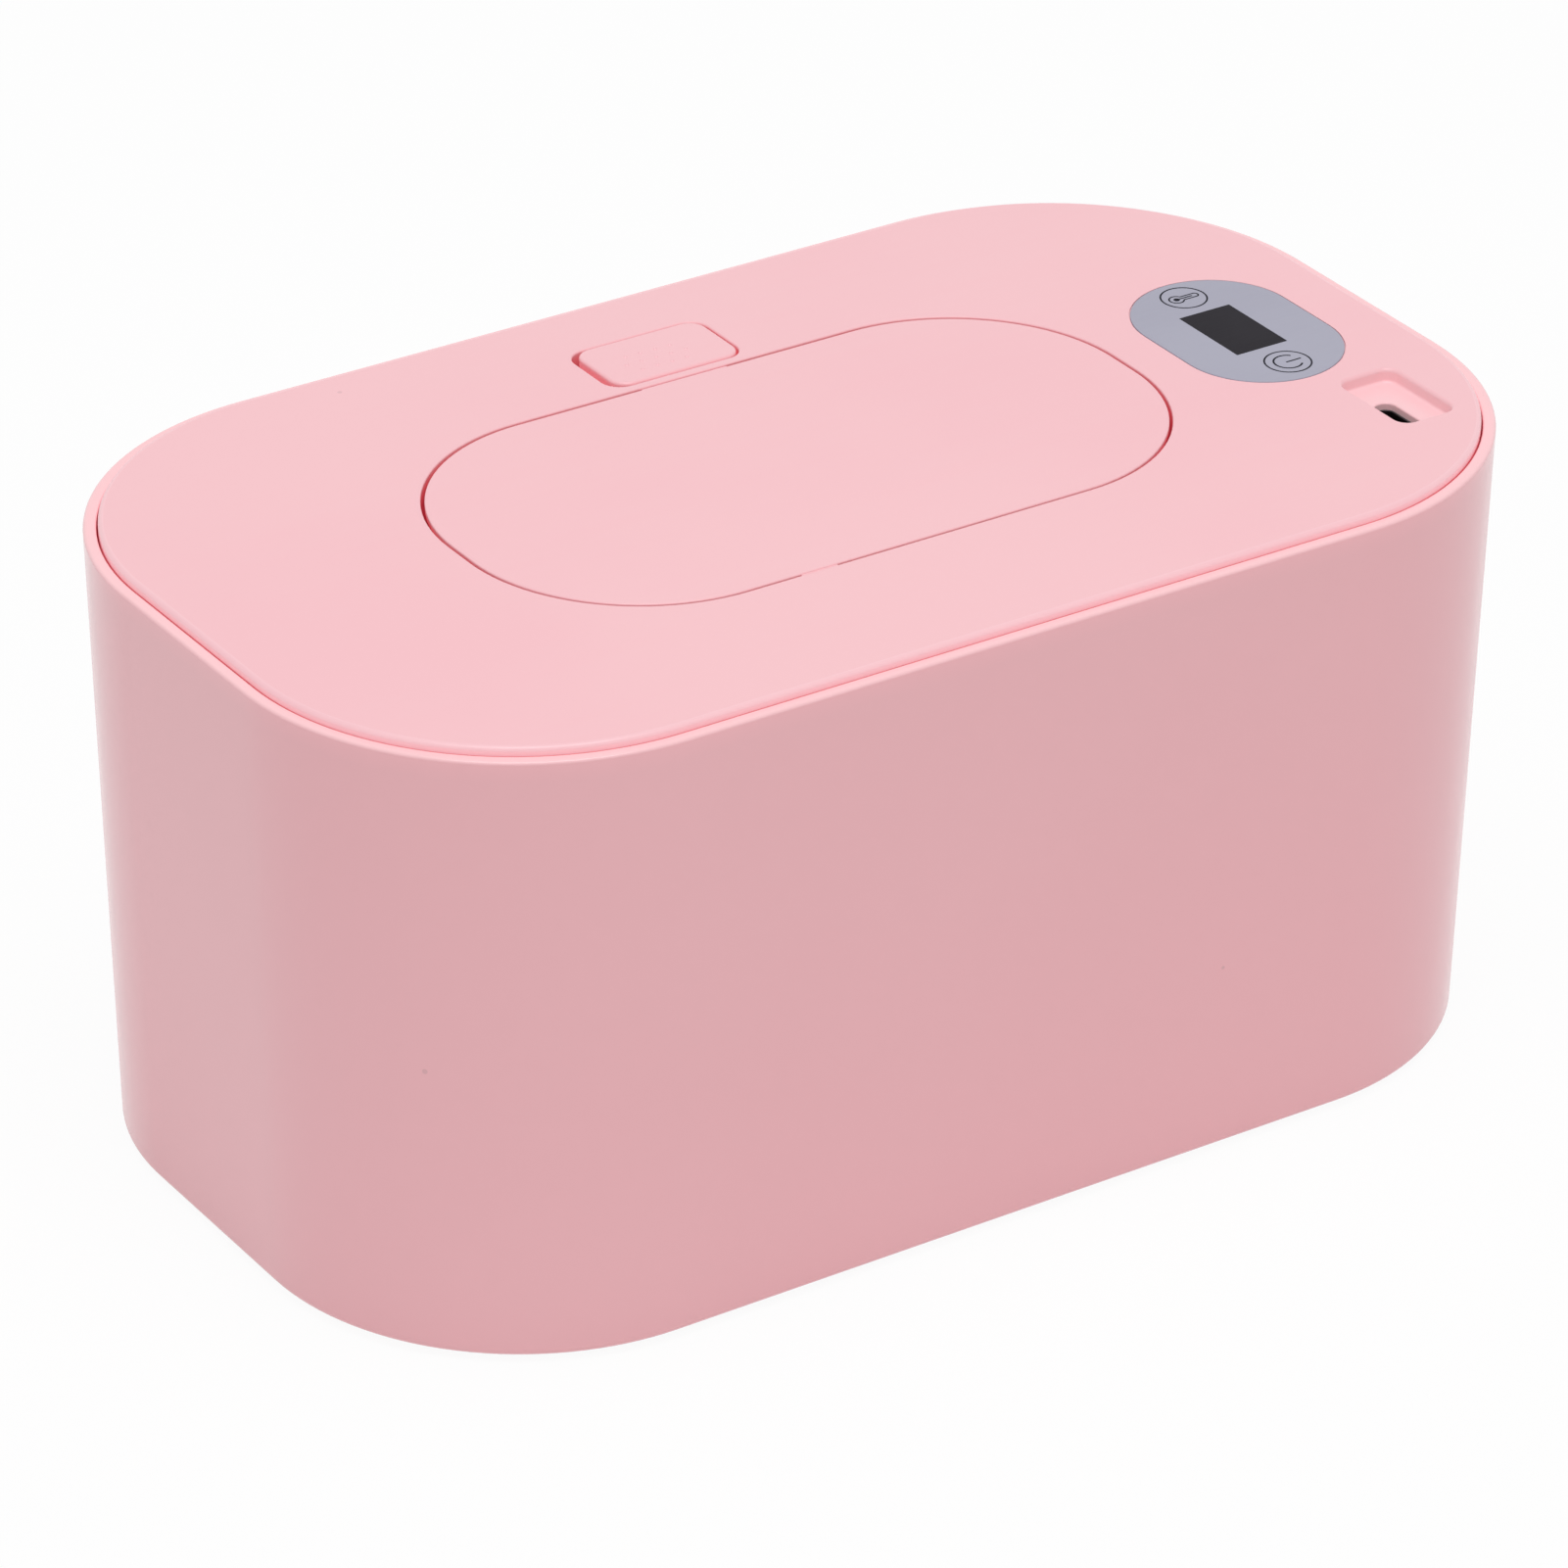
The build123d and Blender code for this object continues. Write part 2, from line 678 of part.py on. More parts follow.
with BuildPart() as lid_frame:
    with BuildSketch(Plane.XY.offset(frame_bottom)):
        RectangleRounded(frame_length, frame_width, frame_corner)
    extrude(amount=frame_thickness)
    # Groove for the seal.
    with BuildSketch(Plane.XY.offset(frame_bottom)):
        SlotOverall(
            mouth_length + collar_wall + lid_seal_width,
            mouth_width + collar_wall + lid_seal_width,
        )
        SlotOverall(
            mouth_length + collar_wall - lid_seal_width,
            mouth_width + collar_wall - lid_seal_width,
            mode=Mode.SUBTRACT,
        )
    extrude(amount=seal_groove, mode=Mode.SUBTRACT)
    # Catch that hangs in front of the latch's nose.
    with BuildSketch(Plane.YZ):
        with BuildLine():
            Polyline(
                (frame_width / 2 - frame_overlap, lid_bottom),
                (catch_face, lid_bottom),
                (catch_face, nose_bottom - catch_play),
                (catch_face + catch_lip, nose_bottom - catch_play - catch_lead),
                (catch_face + catch_lip, catch_bottom),
                (catch_face - catch_thickness, catch_bottom),
                (catch_face - catch_thickness, frame_bottom),
                (frame_width / 2 - frame_overlap, frame_bottom),
                close=True,
            )
        make_face()
    extrude(amount=catch_width / 2, both=True)
    # Two arms that dip under the well's rear wall to the hinge pin.
    for side in (1, -1):
        with BuildSketch(Plane.YZ.offset(side * arm_place)):
            with BuildLine():
                Polyline(
                    (-frame_width / 2 + frame_overlap, lid_bottom),
                    (arm_front, lid_bottom),
                    (arm_front, arm_level),
                    (pivot_y + arm_thickness / 2, arm_level),
                    (pivot_y + arm_thickness / 2, pivot_z),
                    (pivot_y - arm_thickness / 2, pivot_z),
                    (pivot_y - arm_thickness / 2, arm_level - arm_thickness),
                    (arm_front + arm_thickness, arm_level - arm_thickness),
                    (arm_front + arm_thickness, frame_bottom),
                    (-frame_width / 2 + frame_overlap, frame_bottom),
                    close=True,
                )
            make_face()
            with Locations((pivot_y, pivot_z)):
                Circle(hub_radius)
                Circle(pin_radius + pin_fit, mode=Mode.SUBTRACT)
        extrude(amount=arm_width / 2, both=True)

with BuildPart() as lid_seal:
    with BuildSketch(Plane.XY.offset(collar_top + lid_seal_gap)):
        SlotOverall(
            mouth_length + collar_wall + lid_seal_width,
            mouth_width + collar_wall + lid_seal_width,
        )
        SlotOverall(
            mouth_length + collar_wall - lid_seal_width,
            mouth_width + collar_wall - lid_seal_width,
            mode=Mode.SUBTRACT,
        )
    extrude(amount=frame_bottom + seal_groove - collar_top - lid_seal_gap)

pin_end = lug_offsets[1] + lug_thickness

with BuildPart() as hinge_pin:
    with BuildSketch(Plane.YZ.offset(-pin_end - pin_head)):
        with Locations((pivot_y, pivot_z)):
            Circle(pin_radius)
    extrude(amount=2 * pin_end + 2 * pin_head)
    with BuildSketch(Plane.YZ.offset(pin_end)):
        with Locations((pivot_y, pivot_z)):
            Circle(pin_head_radius)
    extrude(amount=pin_head)

spring_width = spring_pitch * spring_turns

# The spring is wound about its own Z axis. Its legs carry on the way that the winding's ends run.
with BuildPart() as wound_spring:
    with BuildLine() as winding:
        coil = Helix(spring_pitch, spring_width, spring_radius)
        Line(coil @ 0 - (coil % 0) * spring_fixed_leg, coil @ 0)
        elbow = coil @ 1 + (coil % 1) * spring_free_leg
        FilletPolyline(coil @ 1, elbow, elbow + Vector(0, 0, spring_toe), radius=spring_bend)
    with BuildSketch(Plane(winding.wires()[0] ^ 0)):
        RegularPolygon(spring_wire, 6)
    sweep(path=winding.wires()[0])

# On the hinge pin the winding axis lies along X, and the free leg points down behind an arm.
spring_plane = Plane(origin=(spring_start, pivot_y, pivot_z), x_dir=(0, 0, -1), z_dir=(1, 0, 0))
lid_spring = wound_spring.part.moved(spring_plane.location)

# ---------------------------------------------------------------- release button and latch

with BuildPart() as release_button:
    with BuildSketch(Plane.XY.offset(cap_bottom)):
        with Locations((0, button_y)):
            RectangleRounded(button_length, button_width, button_corner)
    extrude(amount=button_cap)
    chamfer(release_button.edges().group_by(Axis.Z)[-1], button_bevel)
    # Cheeks that guide the cap in its pocket, with hooks through the pocket's floor.
    with BuildSketch(Plane.XY.offset(cap_bottom - cheek_height)):
        with Locations((0, button_y)):
            with GridLocations(button_length - cheek_thickness, 0, 2, 1):
                Rectangle(cheek_thickness, cheek_length)
    extrude(amount=cheek_height)
    hook_bottom = cap_bottom - cheek_height - hook_drop
    with BuildSketch(Plane.XY.offset(hook_bottom)):
        with Locations((0, button_y)):
            with GridLocations(button_length - cheek_thickness, 0, 2, 1):
                Rectangle(cheek_thickness, hook_width)
    extrude(amount=hook_drop)
    with BuildSketch(Plane.XY.offset(pocket_floor_bottom - hook_barb_height)):
        with Locations((0, button_y)):
            with GridLocations(button_length - 2 * cheek_thickness - hook_barb, 0, 2, 1):
                Rectangle(hook_barb, hook_width)
    extrude(amount=hook_barb_height)
    # Wedge that drives the latch's slide back as the button goes down.
    wedge_tip = cap_bottom - wedge_depth
    wedge_lead = wedge_gap * 2**0.5
    wedge_reach = ramp_foot + wedge_tip - slide_bottom - wedge_lead
    with BuildSketch(Plane.YZ):
        with BuildLine():
            Polyline(
                (wedge_front, cap_bottom),
                (wedge_front, wedge_tip),
                (wedge_reach, wedge_tip),
                (wedge_reach + nose_top - wedge_tip, nose_top),
                (wedge_reach + nose_top - wedge_tip, cap_bottom),
                close=True,
            )
        make_face()
    extrude(amount=wedge_width / 2, both=True)

with BuildPart() as latch_slide:
    with BuildSketch(Plane.XY.offset(nose_bottom)):
        with Locations((0, (nose_tip + slide_back) / 2)):
            Rectangle(nose_width, slide_length)
    extrude(amount=nose_thickness)
    slide_front = pocket_front + slot_gap
    with BuildSketch(Plane.XY.offset(slide_bottom)):
        with Locations((0, (slide_front + slide_back) / 2)):
            Rectangle(nose_width, slide_back - slide_front)
    extrude(amount=nose_bottom - slide_bottom)
    # Slot for the button's wedge, ending in the ramp that the wedge pushes on.
    with BuildSketch(Plane.YZ):
        with BuildLine():
            Polyline(
                (slot_front, slide_bottom),
                (ramp_foot, slide_bottom),
                (ramp_foot + nose_top - slide_bottom, nose_top),
                (slot_front, nose_top),
                close=True,
            )
        make_face()
    extrude(amount=wedge_width / 2 + slot_gap, both=True, mode=Mode.SUBTRACT)
    chamfer(latch_slide.edges().group_by(Axis.Y)[0].group_by(Axis.Z)[-1], nose_bevel)

leaf_span = nose_width - 2 * leaf_inset
leaf_back = pocket_back - leaf_gap
leaf_front = slide_back + leaf_gap

with BuildPart() as latch_spring:
    with BuildSketch(Plane.XY.offset(slide_bottom + leaf_lift)):
        with BuildLine():
            ThreePointArc(
                (-leaf_span / 2, leaf_back),
                (0, leaf_front + leaf_thickness),
                (leaf_span / 2, leaf_back),
            )
            Line((leaf_span / 2, leaf_back), (leaf_span / 2, leaf_back - leaf_thickness))
            ThreePointArc(
                (leaf_span / 2, leaf_back - leaf_thickness),
                (0, leaf_front),
                (-leaf_span / 2, leaf_back - leaf_thickness),
            )
            Line((-leaf_span / 2, leaf_back - leaf_thickness), (-leaf_span / 2, leaf_back))
        make_face()
    extrude(amount=leaf_height)

# ---------------------------------------------------------------- control panel and board

with BuildPart() as panel_overlay:
    with BuildSketch(Plane.XY.offset(deck_top - panel_thickness)):
        with Locations((panel_x, 0)):
            SlotOverall(panel_length, panel_width, rotation=90)
    extrude(amount=panel_thickness)

with BuildPart() as display_filter:
    with BuildSketch(Plane.XY.offset(filter_bottom)):
        with Locations((panel_x, 0)):
            Rectangle(display_width + 2 * filter_flange, display_length + 2 * filter_flange)
    extrude(amount=filter_flange_thickness)
    with BuildSketch(Plane.XY.offset(deck_bottom)):
        with Locations((panel_x, 0)):
            Rectangle(display_width, display_length)
    extrude(amount=deck_thickness - panel_thickness)

with BuildPart() as display_module:
    with BuildSketch(Plane.XY.offset(board_top)):
        with Locations((panel_x, 0)):
            Rectangle(module_width, module_length)
    extrude(amount=filter_bottom - board_top)
    chamfer(display_module.edges().filter_by(Axis.Z), module_chamfer)

with BuildPart() as touch_pads:
    with BuildSketch(Plane.XY.offset(board_top)):
        with Locations(*touch_places):
            Circle(touch_radius)
    extrude(amount=deck_bottom - board_top)

with BuildPart() as control_board:
    with BuildSketch(Plane.XY.offset(board_bottom)):
        with Locations((board_x, board_shift)):
            RectangleRounded(board_width, board_length, board_corner)
        with Locations(*post_places):
            small_round(screw_radius + hole_gap, mode=Mode.SUBTRACT)
    extrude(amount=board_thickness)

with BuildPart() as board_components:
    with BuildSketch(Plane.XY.offset(board_top)):
        with Locations(*plug_places):
            Rectangle(plug_body_width, plug_body_length)
    extrude(amount=plug_body_height)
    with BuildSketch(Plane.XY.offset(board_top)):
        with Locations(chip_place):
            Rectangle(chip_size, chip_size)
    extrude(amount=chip_height)
    with BuildSketch(Plane.XY.offset(board_top)):
        with Locations(buzzer_place):
            Rectangle(chip_size, chip_size)
    extrude(amount=buzzer_height)
    with BuildSketch(Plane.XY.offset(board_top)):
        with Locations(*resistor_places):
            with GridLocations(0, resistor_pitch, 1, 3):
                Rectangle(resistor_length, resistor_width)
    extrude(amount=resistor_height)

with BuildPart() as usb_socket:
    with BuildSketch(Plane.XY.offset(board_top)):
        with Locations((socket_x, -socket_side)):
            RectangleRounded(socket_width, socket_length, socket_width / 2 - socket_flat)
    extrude(amount=socket_height)
    with BuildSketch(Plane.XY.offset(board_top + socket_base)):
        with Locations((socket_x, -socket_side)):
            RectangleRounded(
                socket_width - 2 * socket_shell,
                socket_length - 2 * socket_shell,
                socket_width / 2 - socket_shell - socket_flat,
            )
    extrude(amount=socket_height - socket_base, mode=Mode.SUBTRACT)

with BuildPart() as usb_tongue:
    with BuildSketch(Plane.XY.offset(board_top + socket_base)):
        with Locations((socket_x, -socket_side)):
            Rectangle(tongue_thickness, tongue_length)
    extrude(amount=socket_height - socket_base - tongue_sunk)

# ---------------------------------------------------------------- heater under the cover

thermistor_place = (lead_x, -plug_offset)
fuse_place = (lead_x + fuse_from_leads, fuse_side)

with BuildPart() as heater_plate:
    with BuildSketch(Plane.XY.offset(plate_bottom)):
        outline(heater_outline)
        SlotOverall(mouth_length + 2 * mouth_margin, mouth_width + 2 * mouth_margin, mode=Mode.SUBTRACT)
        with Locations(*plate_screw_places):
            small_round(screw_radius + hole_gap, mode=Mode.SUBTRACT)
    extrude(amount=plate_thickness)

with BuildPart() as heating_film:
    with BuildSketch(Plane.XY.offset(film_bottom)):
        Rectangle(film_length, film_width)
        Rectangle(film_hole_length, film_hole_width, mode=Mode.SUBTRACT)
    extrude(amount=film_thickness)

with BuildPart() as heater_insulation:
    with BuildSketch(Plane.XY.offset(blanket_bottom)):
        Rectangle(film_length, film_width)
        Rectangle(film_hole_length, film_hole_width, mode=Mode.SUBTRACT)
        with Locations((lead_x, plug_offset)):
            Rectangle(lead_hole_width, lead_hole_length, mode=Mode.SUBTRACT)
        with Locations(thermistor_place):
            Rectangle(thermistor_size + 2 * part_gap, lead_hole_length, mode=Mode.SUBTRACT)
        with Locations(fuse_place):
            Rectangle(fuse_width + 2 * part_gap, fuse_length + 2 * part_gap, mode=Mode.SUBTRACT)
    extrude(amount=blanket_thickness)

with BuildPart() as thermistor:
    with BuildSketch(Plane.XY.offset(blanket_bottom)):
        with Locations(thermistor_place):
            Rectangle(thermistor_size, thermistor_size)
    extrude(amount=thermistor_height)
    fillet(thermistor.edges().filter_by(Axis.Z), thermistor_corner)

with BuildPart() as thermal_fuse:
    with BuildSketch(Plane.XY.offset(blanket_bottom)):
        with Locations(fuse_place):
            Rectangle(fuse_width, fuse_length)
    extrude(amount=fuse_height)
    chamfer(thermal_fuse.edges().filter_by(Axis.Z), fuse_chamfer)


def leads(plug_place, foot_level):
    """A flat twin lead from a plug on the board, down through the cover's floor to a level below it."""
    level = board_top + plug_body_height / 2
    with BuildPart() as twin_lead:
        with BuildLine() as route:
            FilletPolyline(
                (plug_place[0] - plug_body_width / 2, plug_place[1], level),
                (lead_x, plug_place[1], level),
                (lead_x, plug_place[1], foot_level),
                radius=lead_bend,
            )
        with BuildSketch(Plane(origin=route.wires()[0] @ 0, x_dir=(0, 1, 0), z_dir=(-1, 0, 0))):
            Rectangle(lead_width, lead_thickness)
        sweep(path=route.wires()[0])
    return twin_lead.part


heater_leads = leads(plug_places[0], blanket_bottom)
sensor_leads = leads(plug_places[1], blanket_bottom + thermistor_height)

# ---------------------------------------------------------------- fasteners

cover_screws = screws(boss_places, cover_bottom + screw_head_height, cover_screw_length)
plate_screws = screws(plate_screw_places, plate_bottom, plate_screw_length)
board_screws = screws(post_places, board_bottom, board_screw_length)

# ---------------------------------------------------------------- export

pieces = {
    "outer_case": outer_case.part,
    "feet": feet.part,
    "inner_tank": inner_tank.part,
    "insulation_sleeve": insulation_sleeve.part,
    "insulation_pad": insulation_pad.part,
    "top_cover": top_cover.part,
    "under_cover": under_cover.part,
    "cover_seal": cover_seal.part,
    "flip_lid": flip_lid.part,
    "lid_frame": lid_frame.part,
    "lid_seal": lid_seal.part,
    "hinge_pin": hinge_pin.part,
    "lid_spring": lid_spring,
    "release_button": release_button.part,
    "latch_slide": latch_slide.part,
    "latch_spring": latch_spring.part,
    "panel_overlay": panel_overlay.part,
    "display_filter": display_filter.part,
    "display_module": display_module.part,
    "touch_pads": touch_pads.part,
    "control_board": control_board.part,
    "board_components": board_components.part,
    "usb_socket": usb_socket.part,
    "usb_tongue": usb_tongue.part,
    "heater_plate": heater_plate.part,
    "heating_film": heating_film.part,
    "heater_insulation": heater_insulation.part,
    "thermistor": thermistor.part,
    "thermal_fuse": thermal_fuse.part,
    "heater_leads": heater_leads,
    "sensor_leads": sensor_leads,
    "cover_screws": cover_screws,
    "plate_screws": plate_screws,
    "board_screws": board_screws,
}

os.makedirs("parts", exist_ok=True)
for name, piece in pieces.items():
    piece.label = name
    export_step(piece, f"parts/{name}.step")
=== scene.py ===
import logging
import math
from dataclasses import dataclass, replace
from enum import Enum
from typing import Callable, Sequence

import bpy
import numpy as np
from mathutils import Matrix, Vector
from mathutils.geometry import tessellate_polygon


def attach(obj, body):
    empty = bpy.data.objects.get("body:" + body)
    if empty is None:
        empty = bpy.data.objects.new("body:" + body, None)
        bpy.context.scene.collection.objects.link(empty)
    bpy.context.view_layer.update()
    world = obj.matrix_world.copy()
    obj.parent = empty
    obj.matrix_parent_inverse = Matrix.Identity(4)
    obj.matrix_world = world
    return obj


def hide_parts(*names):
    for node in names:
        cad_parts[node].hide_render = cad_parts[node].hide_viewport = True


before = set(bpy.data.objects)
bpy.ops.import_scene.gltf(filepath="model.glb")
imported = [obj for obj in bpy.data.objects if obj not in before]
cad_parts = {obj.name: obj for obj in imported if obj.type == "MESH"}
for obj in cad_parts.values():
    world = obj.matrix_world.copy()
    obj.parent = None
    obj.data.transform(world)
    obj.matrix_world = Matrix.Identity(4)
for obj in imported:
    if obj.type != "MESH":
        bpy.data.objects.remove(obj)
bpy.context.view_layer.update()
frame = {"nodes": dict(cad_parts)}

# Baby wipe warmer: a glossy drafted case, a tank hung in it, and a lift-off cover with a flush
# flip lid, a push button, a control panel and a USB inlet. Sizes are in millimetres in the CAD
# frame, and colours are display colours from 0 to 255.

MM = 0.001
Array = np.ndarray
Colour = tuple[float, float, float, float]
Socket = bpy.types.NodeSocket
Takes = dict[str, Socket]
Surface = dict[str, Socket | float]
log = logging.getLogger("wipe_warmer")


class Body(Enum):
    """The bodies that new pieces ride on."""

    BASE = "base"
    COVER = "cover"
    LID = "lid"
    BUTTON = "button"


class Facing(Enum):
    """The axis that a flat shape faces, after the two axes that it is drawn on."""

    X = (1, 2, 0)
    Y = (0, 2, 1)
    Z = (0, 1, 2)

    @property
    def hand(self) -> int:
        """1 where a counter-clockwise drawing faces along the axis, and -1 where it faces back."""
        return -1 if self is Facing.Y else 1

    def place(self, flat: Array, level: float) -> Array:
        """Puts drawn points on a plane that faces along the axis.

        Args:
            flat: The points as drawn.
            level: The plane's place along the axis.

        Returns:
            The points in X, Y and Z.
        """
        points = np.empty((len(flat), 3))
        points[:, self.value[0]] = flat[:, 0]
        points[:, self.value[1]] = flat[:, 1]
        points[:, self.value[2]] = level
        return points


# ---------------------------------------------------------------- surfaces

# Points nearer than this, or equal to this many digits, are one point. Edges that turn by more
# than the sharp angle stay sharp. The flat is what a face keeps beside a rounded edge. A face is
# told by its middle: near is how far that may lie from where the face ends.
SAME_POINT = 1e-6
SAME_DIGITS = 5
SHARP_ANGLE = math.radians(35)
FLAT = 0.05
NEAR = 0.1


@dataclass(frozen=True)
class Outline:
    """A rounded rectangle in plan, whose offsets share its corner centres.

    Attributes:
        length: Size along X.
        width: Size along Y.
        corner: Radius of the corners.
        centre: Middle of the outline in plan.
        steps: Number of facets in each corner.
    """

    length: float
    width: float
    corner: float
    centre: tuple[float, float] = (0.0, 0.0)
    steps: int = 12

    def spokes(self) -> Array:
        """Finds which way is outwards, by a quarter turn for each of the four corners.

        Returns:
            The directions in X and Y, one for each point of a ring.
        """
        turns = np.linspace(0.0, 0.5 * math.pi, self.steps + 1)
        angles = (0.5 * math.pi * np.arange(4)[:, None] + turns).ravel()
        return np.stack([np.cos(angles), np.sin(angles)], axis=1)

    def rings(self, insets: Array) -> Array:
        """Offsets the outline inwards.

        A point is its corner's centre, plus its spoke times the corner's radius less the inset. An
        inset beyond the radius moves the corner itself in, and leaves it sharp.

        Args:
            insets: How far in each ring lies; less than zero is outside the outline.

        Returns:
            Points by ring, place around it, and X and Y.
        """
        depth = np.asarray(insets, float)[:, None, None]
        signs = np.array([[1, 1], [-1, 1], [-1, -1], [1, -1]], float)
        sides = np.repeat(signs, self.steps + 1, axis=0)
        reach = np.maximum(depth, self.corner)
        half = np.array([self.length, self.width]) / 2
        return np.array(self.centre) + sides * (half - reach) + self.spokes() * (reach - depth)

    def ring(self, inset: float = 0.0) -> Array:
        """Offsets the outline once, without the repeated points where two corners meet.

        Args:
            inset: How far in the ring lies.

        Returns:
            The ring's points in X and Y.
        """
        ring = self.rings(np.array([inset]))[0]
        step = np.linalg.norm(ring - np.roll(ring, 1, axis=0), axis=1)
        return ring[step > SAME_POINT]


def circle(radius: float, centre: tuple[float, float] = (0.0, 0.0), steps: int = 5) -> Outline:
    """A round outline, with that many facets in each quarter."""
    return Outline(2 * radius, 2 * radius, radius, centre, steps)


def block(length: float, width: float, centre: tuple[float, float] = (0.0, 0.0)) -> Array:
    """The corners of a rectangle, counter-clockwise."""
    corners = np.array([[1, 1], [-1, 1], [-1, -1], [1, -1]], float)
    return np.array(centre) + corners * np.array([length, width]) / 2


def bend(points: Sequence[tuple[float, float]], radii: Sequence[float], steps: int = 6) -> Array:
    """Rounds the corners of a profile, and finds the way that it faces.

    A corner becomes an arc that touches both its runs. It starts before the corner by the radius
    times the tangent of half the turn, and its centre is the radius to the side that it turns to.
    The profile faces to the left of its own travel. A corner of no radius stays sharp: it is there
    twice, facing as each of its runs does.

    Args:
        points: Inset and height of each corner of the profile.
        radii: Radius of each corner between the two ends.
        steps: Number of facets in an arc.

    Returns:
        Inset, height, and the two parts of the facing, for each point.
    """
    corners = np.array(points, float)
    runs = np.diff(corners, axis=0)
    ways = runs / np.linalg.norm(runs, axis=1, keepdims=True)
    left = np.stack([-ways[:, 1], ways[:, 0]], axis=1)
    before, after = ways[:-1], ways[1:]
    cross = before[:, 0] * after[:, 1] - before[:, 1] * after[:, 0]
    turn = np.arctan2(cross, (before * after).sum(axis=1))
    radius = np.array(radii, float)
    start = corners[1:-1] - before * (radius * np.tan(np.abs(turn) / 2))[:, None]
    side = (np.sign(turn) * radius)[:, None]
    centre = start + left[:-1] * side
    angle = turn[:, None] * np.linspace(0.0, 1.0, steps + 1)
    c, s = np.cos(angle), np.sin(angle)
    x, y = left[:-1, :1], left[:-1, 1:]
    facing = np.stack([c * x - s * y, s * x + c * y], axis=2)
    arcs = centre[:, None] - facing * side[:, None]
    middle = np.concatenate([arcs, facing], axis=2).reshape(-1, 4)
    first = np.concatenate([corners[0], left[0]])
    last = np.concatenate([corners[-1], left[-1]])
    return np.vstack([first, middle, last])


def slab_edge(
    inset: float,
    low: float,
    high: float,
    rounds: tuple[float, float],
    steps: int = 6,
    start: float = 0.0,
) -> Array:
    """Profiles a slab's edge: out along its bottom, up, and in along its top.

    Args:
        inset: How far inside the edge the profile begins and ends.
        low: Height of the bottom.
        high: Height of the top.
        rounds: Radius of the lower corner, and of the upper one.
        steps: Number of facets in an arc.
        start: How far the edge itself lies inside the outline.

    Returns:
        What bend gives.
    """
    inside = start + inset
    return bend([(inside, low), (start, low), (start, high), (inside, high)], rounds, steps)


def lip(radius: float) -> float:
    """Where an opening's rounded edge has run out in the face round it, with a little flat."""
    return -radius - FLAT


def opening_edge(
    high: float, low: float, inset: float, rounds: tuple[float, float], steps: int = 6
) -> Array:
    """Profiles an opening's edge: in over its lip, down, and along its floor.

    Args:
        high: Height of the face round it.
        low: Height of its floor.
        inset: How far in the profile ends.
        rounds: Radius of the lip, and of the corner at the floor.
        steps: Number of facets in an arc.

    Returns:
        What bend gives.
    """
    return bend([(lip(rounds[0]), high), (0.0, high), (0.0, low), (inset, low)], rounds, steps)


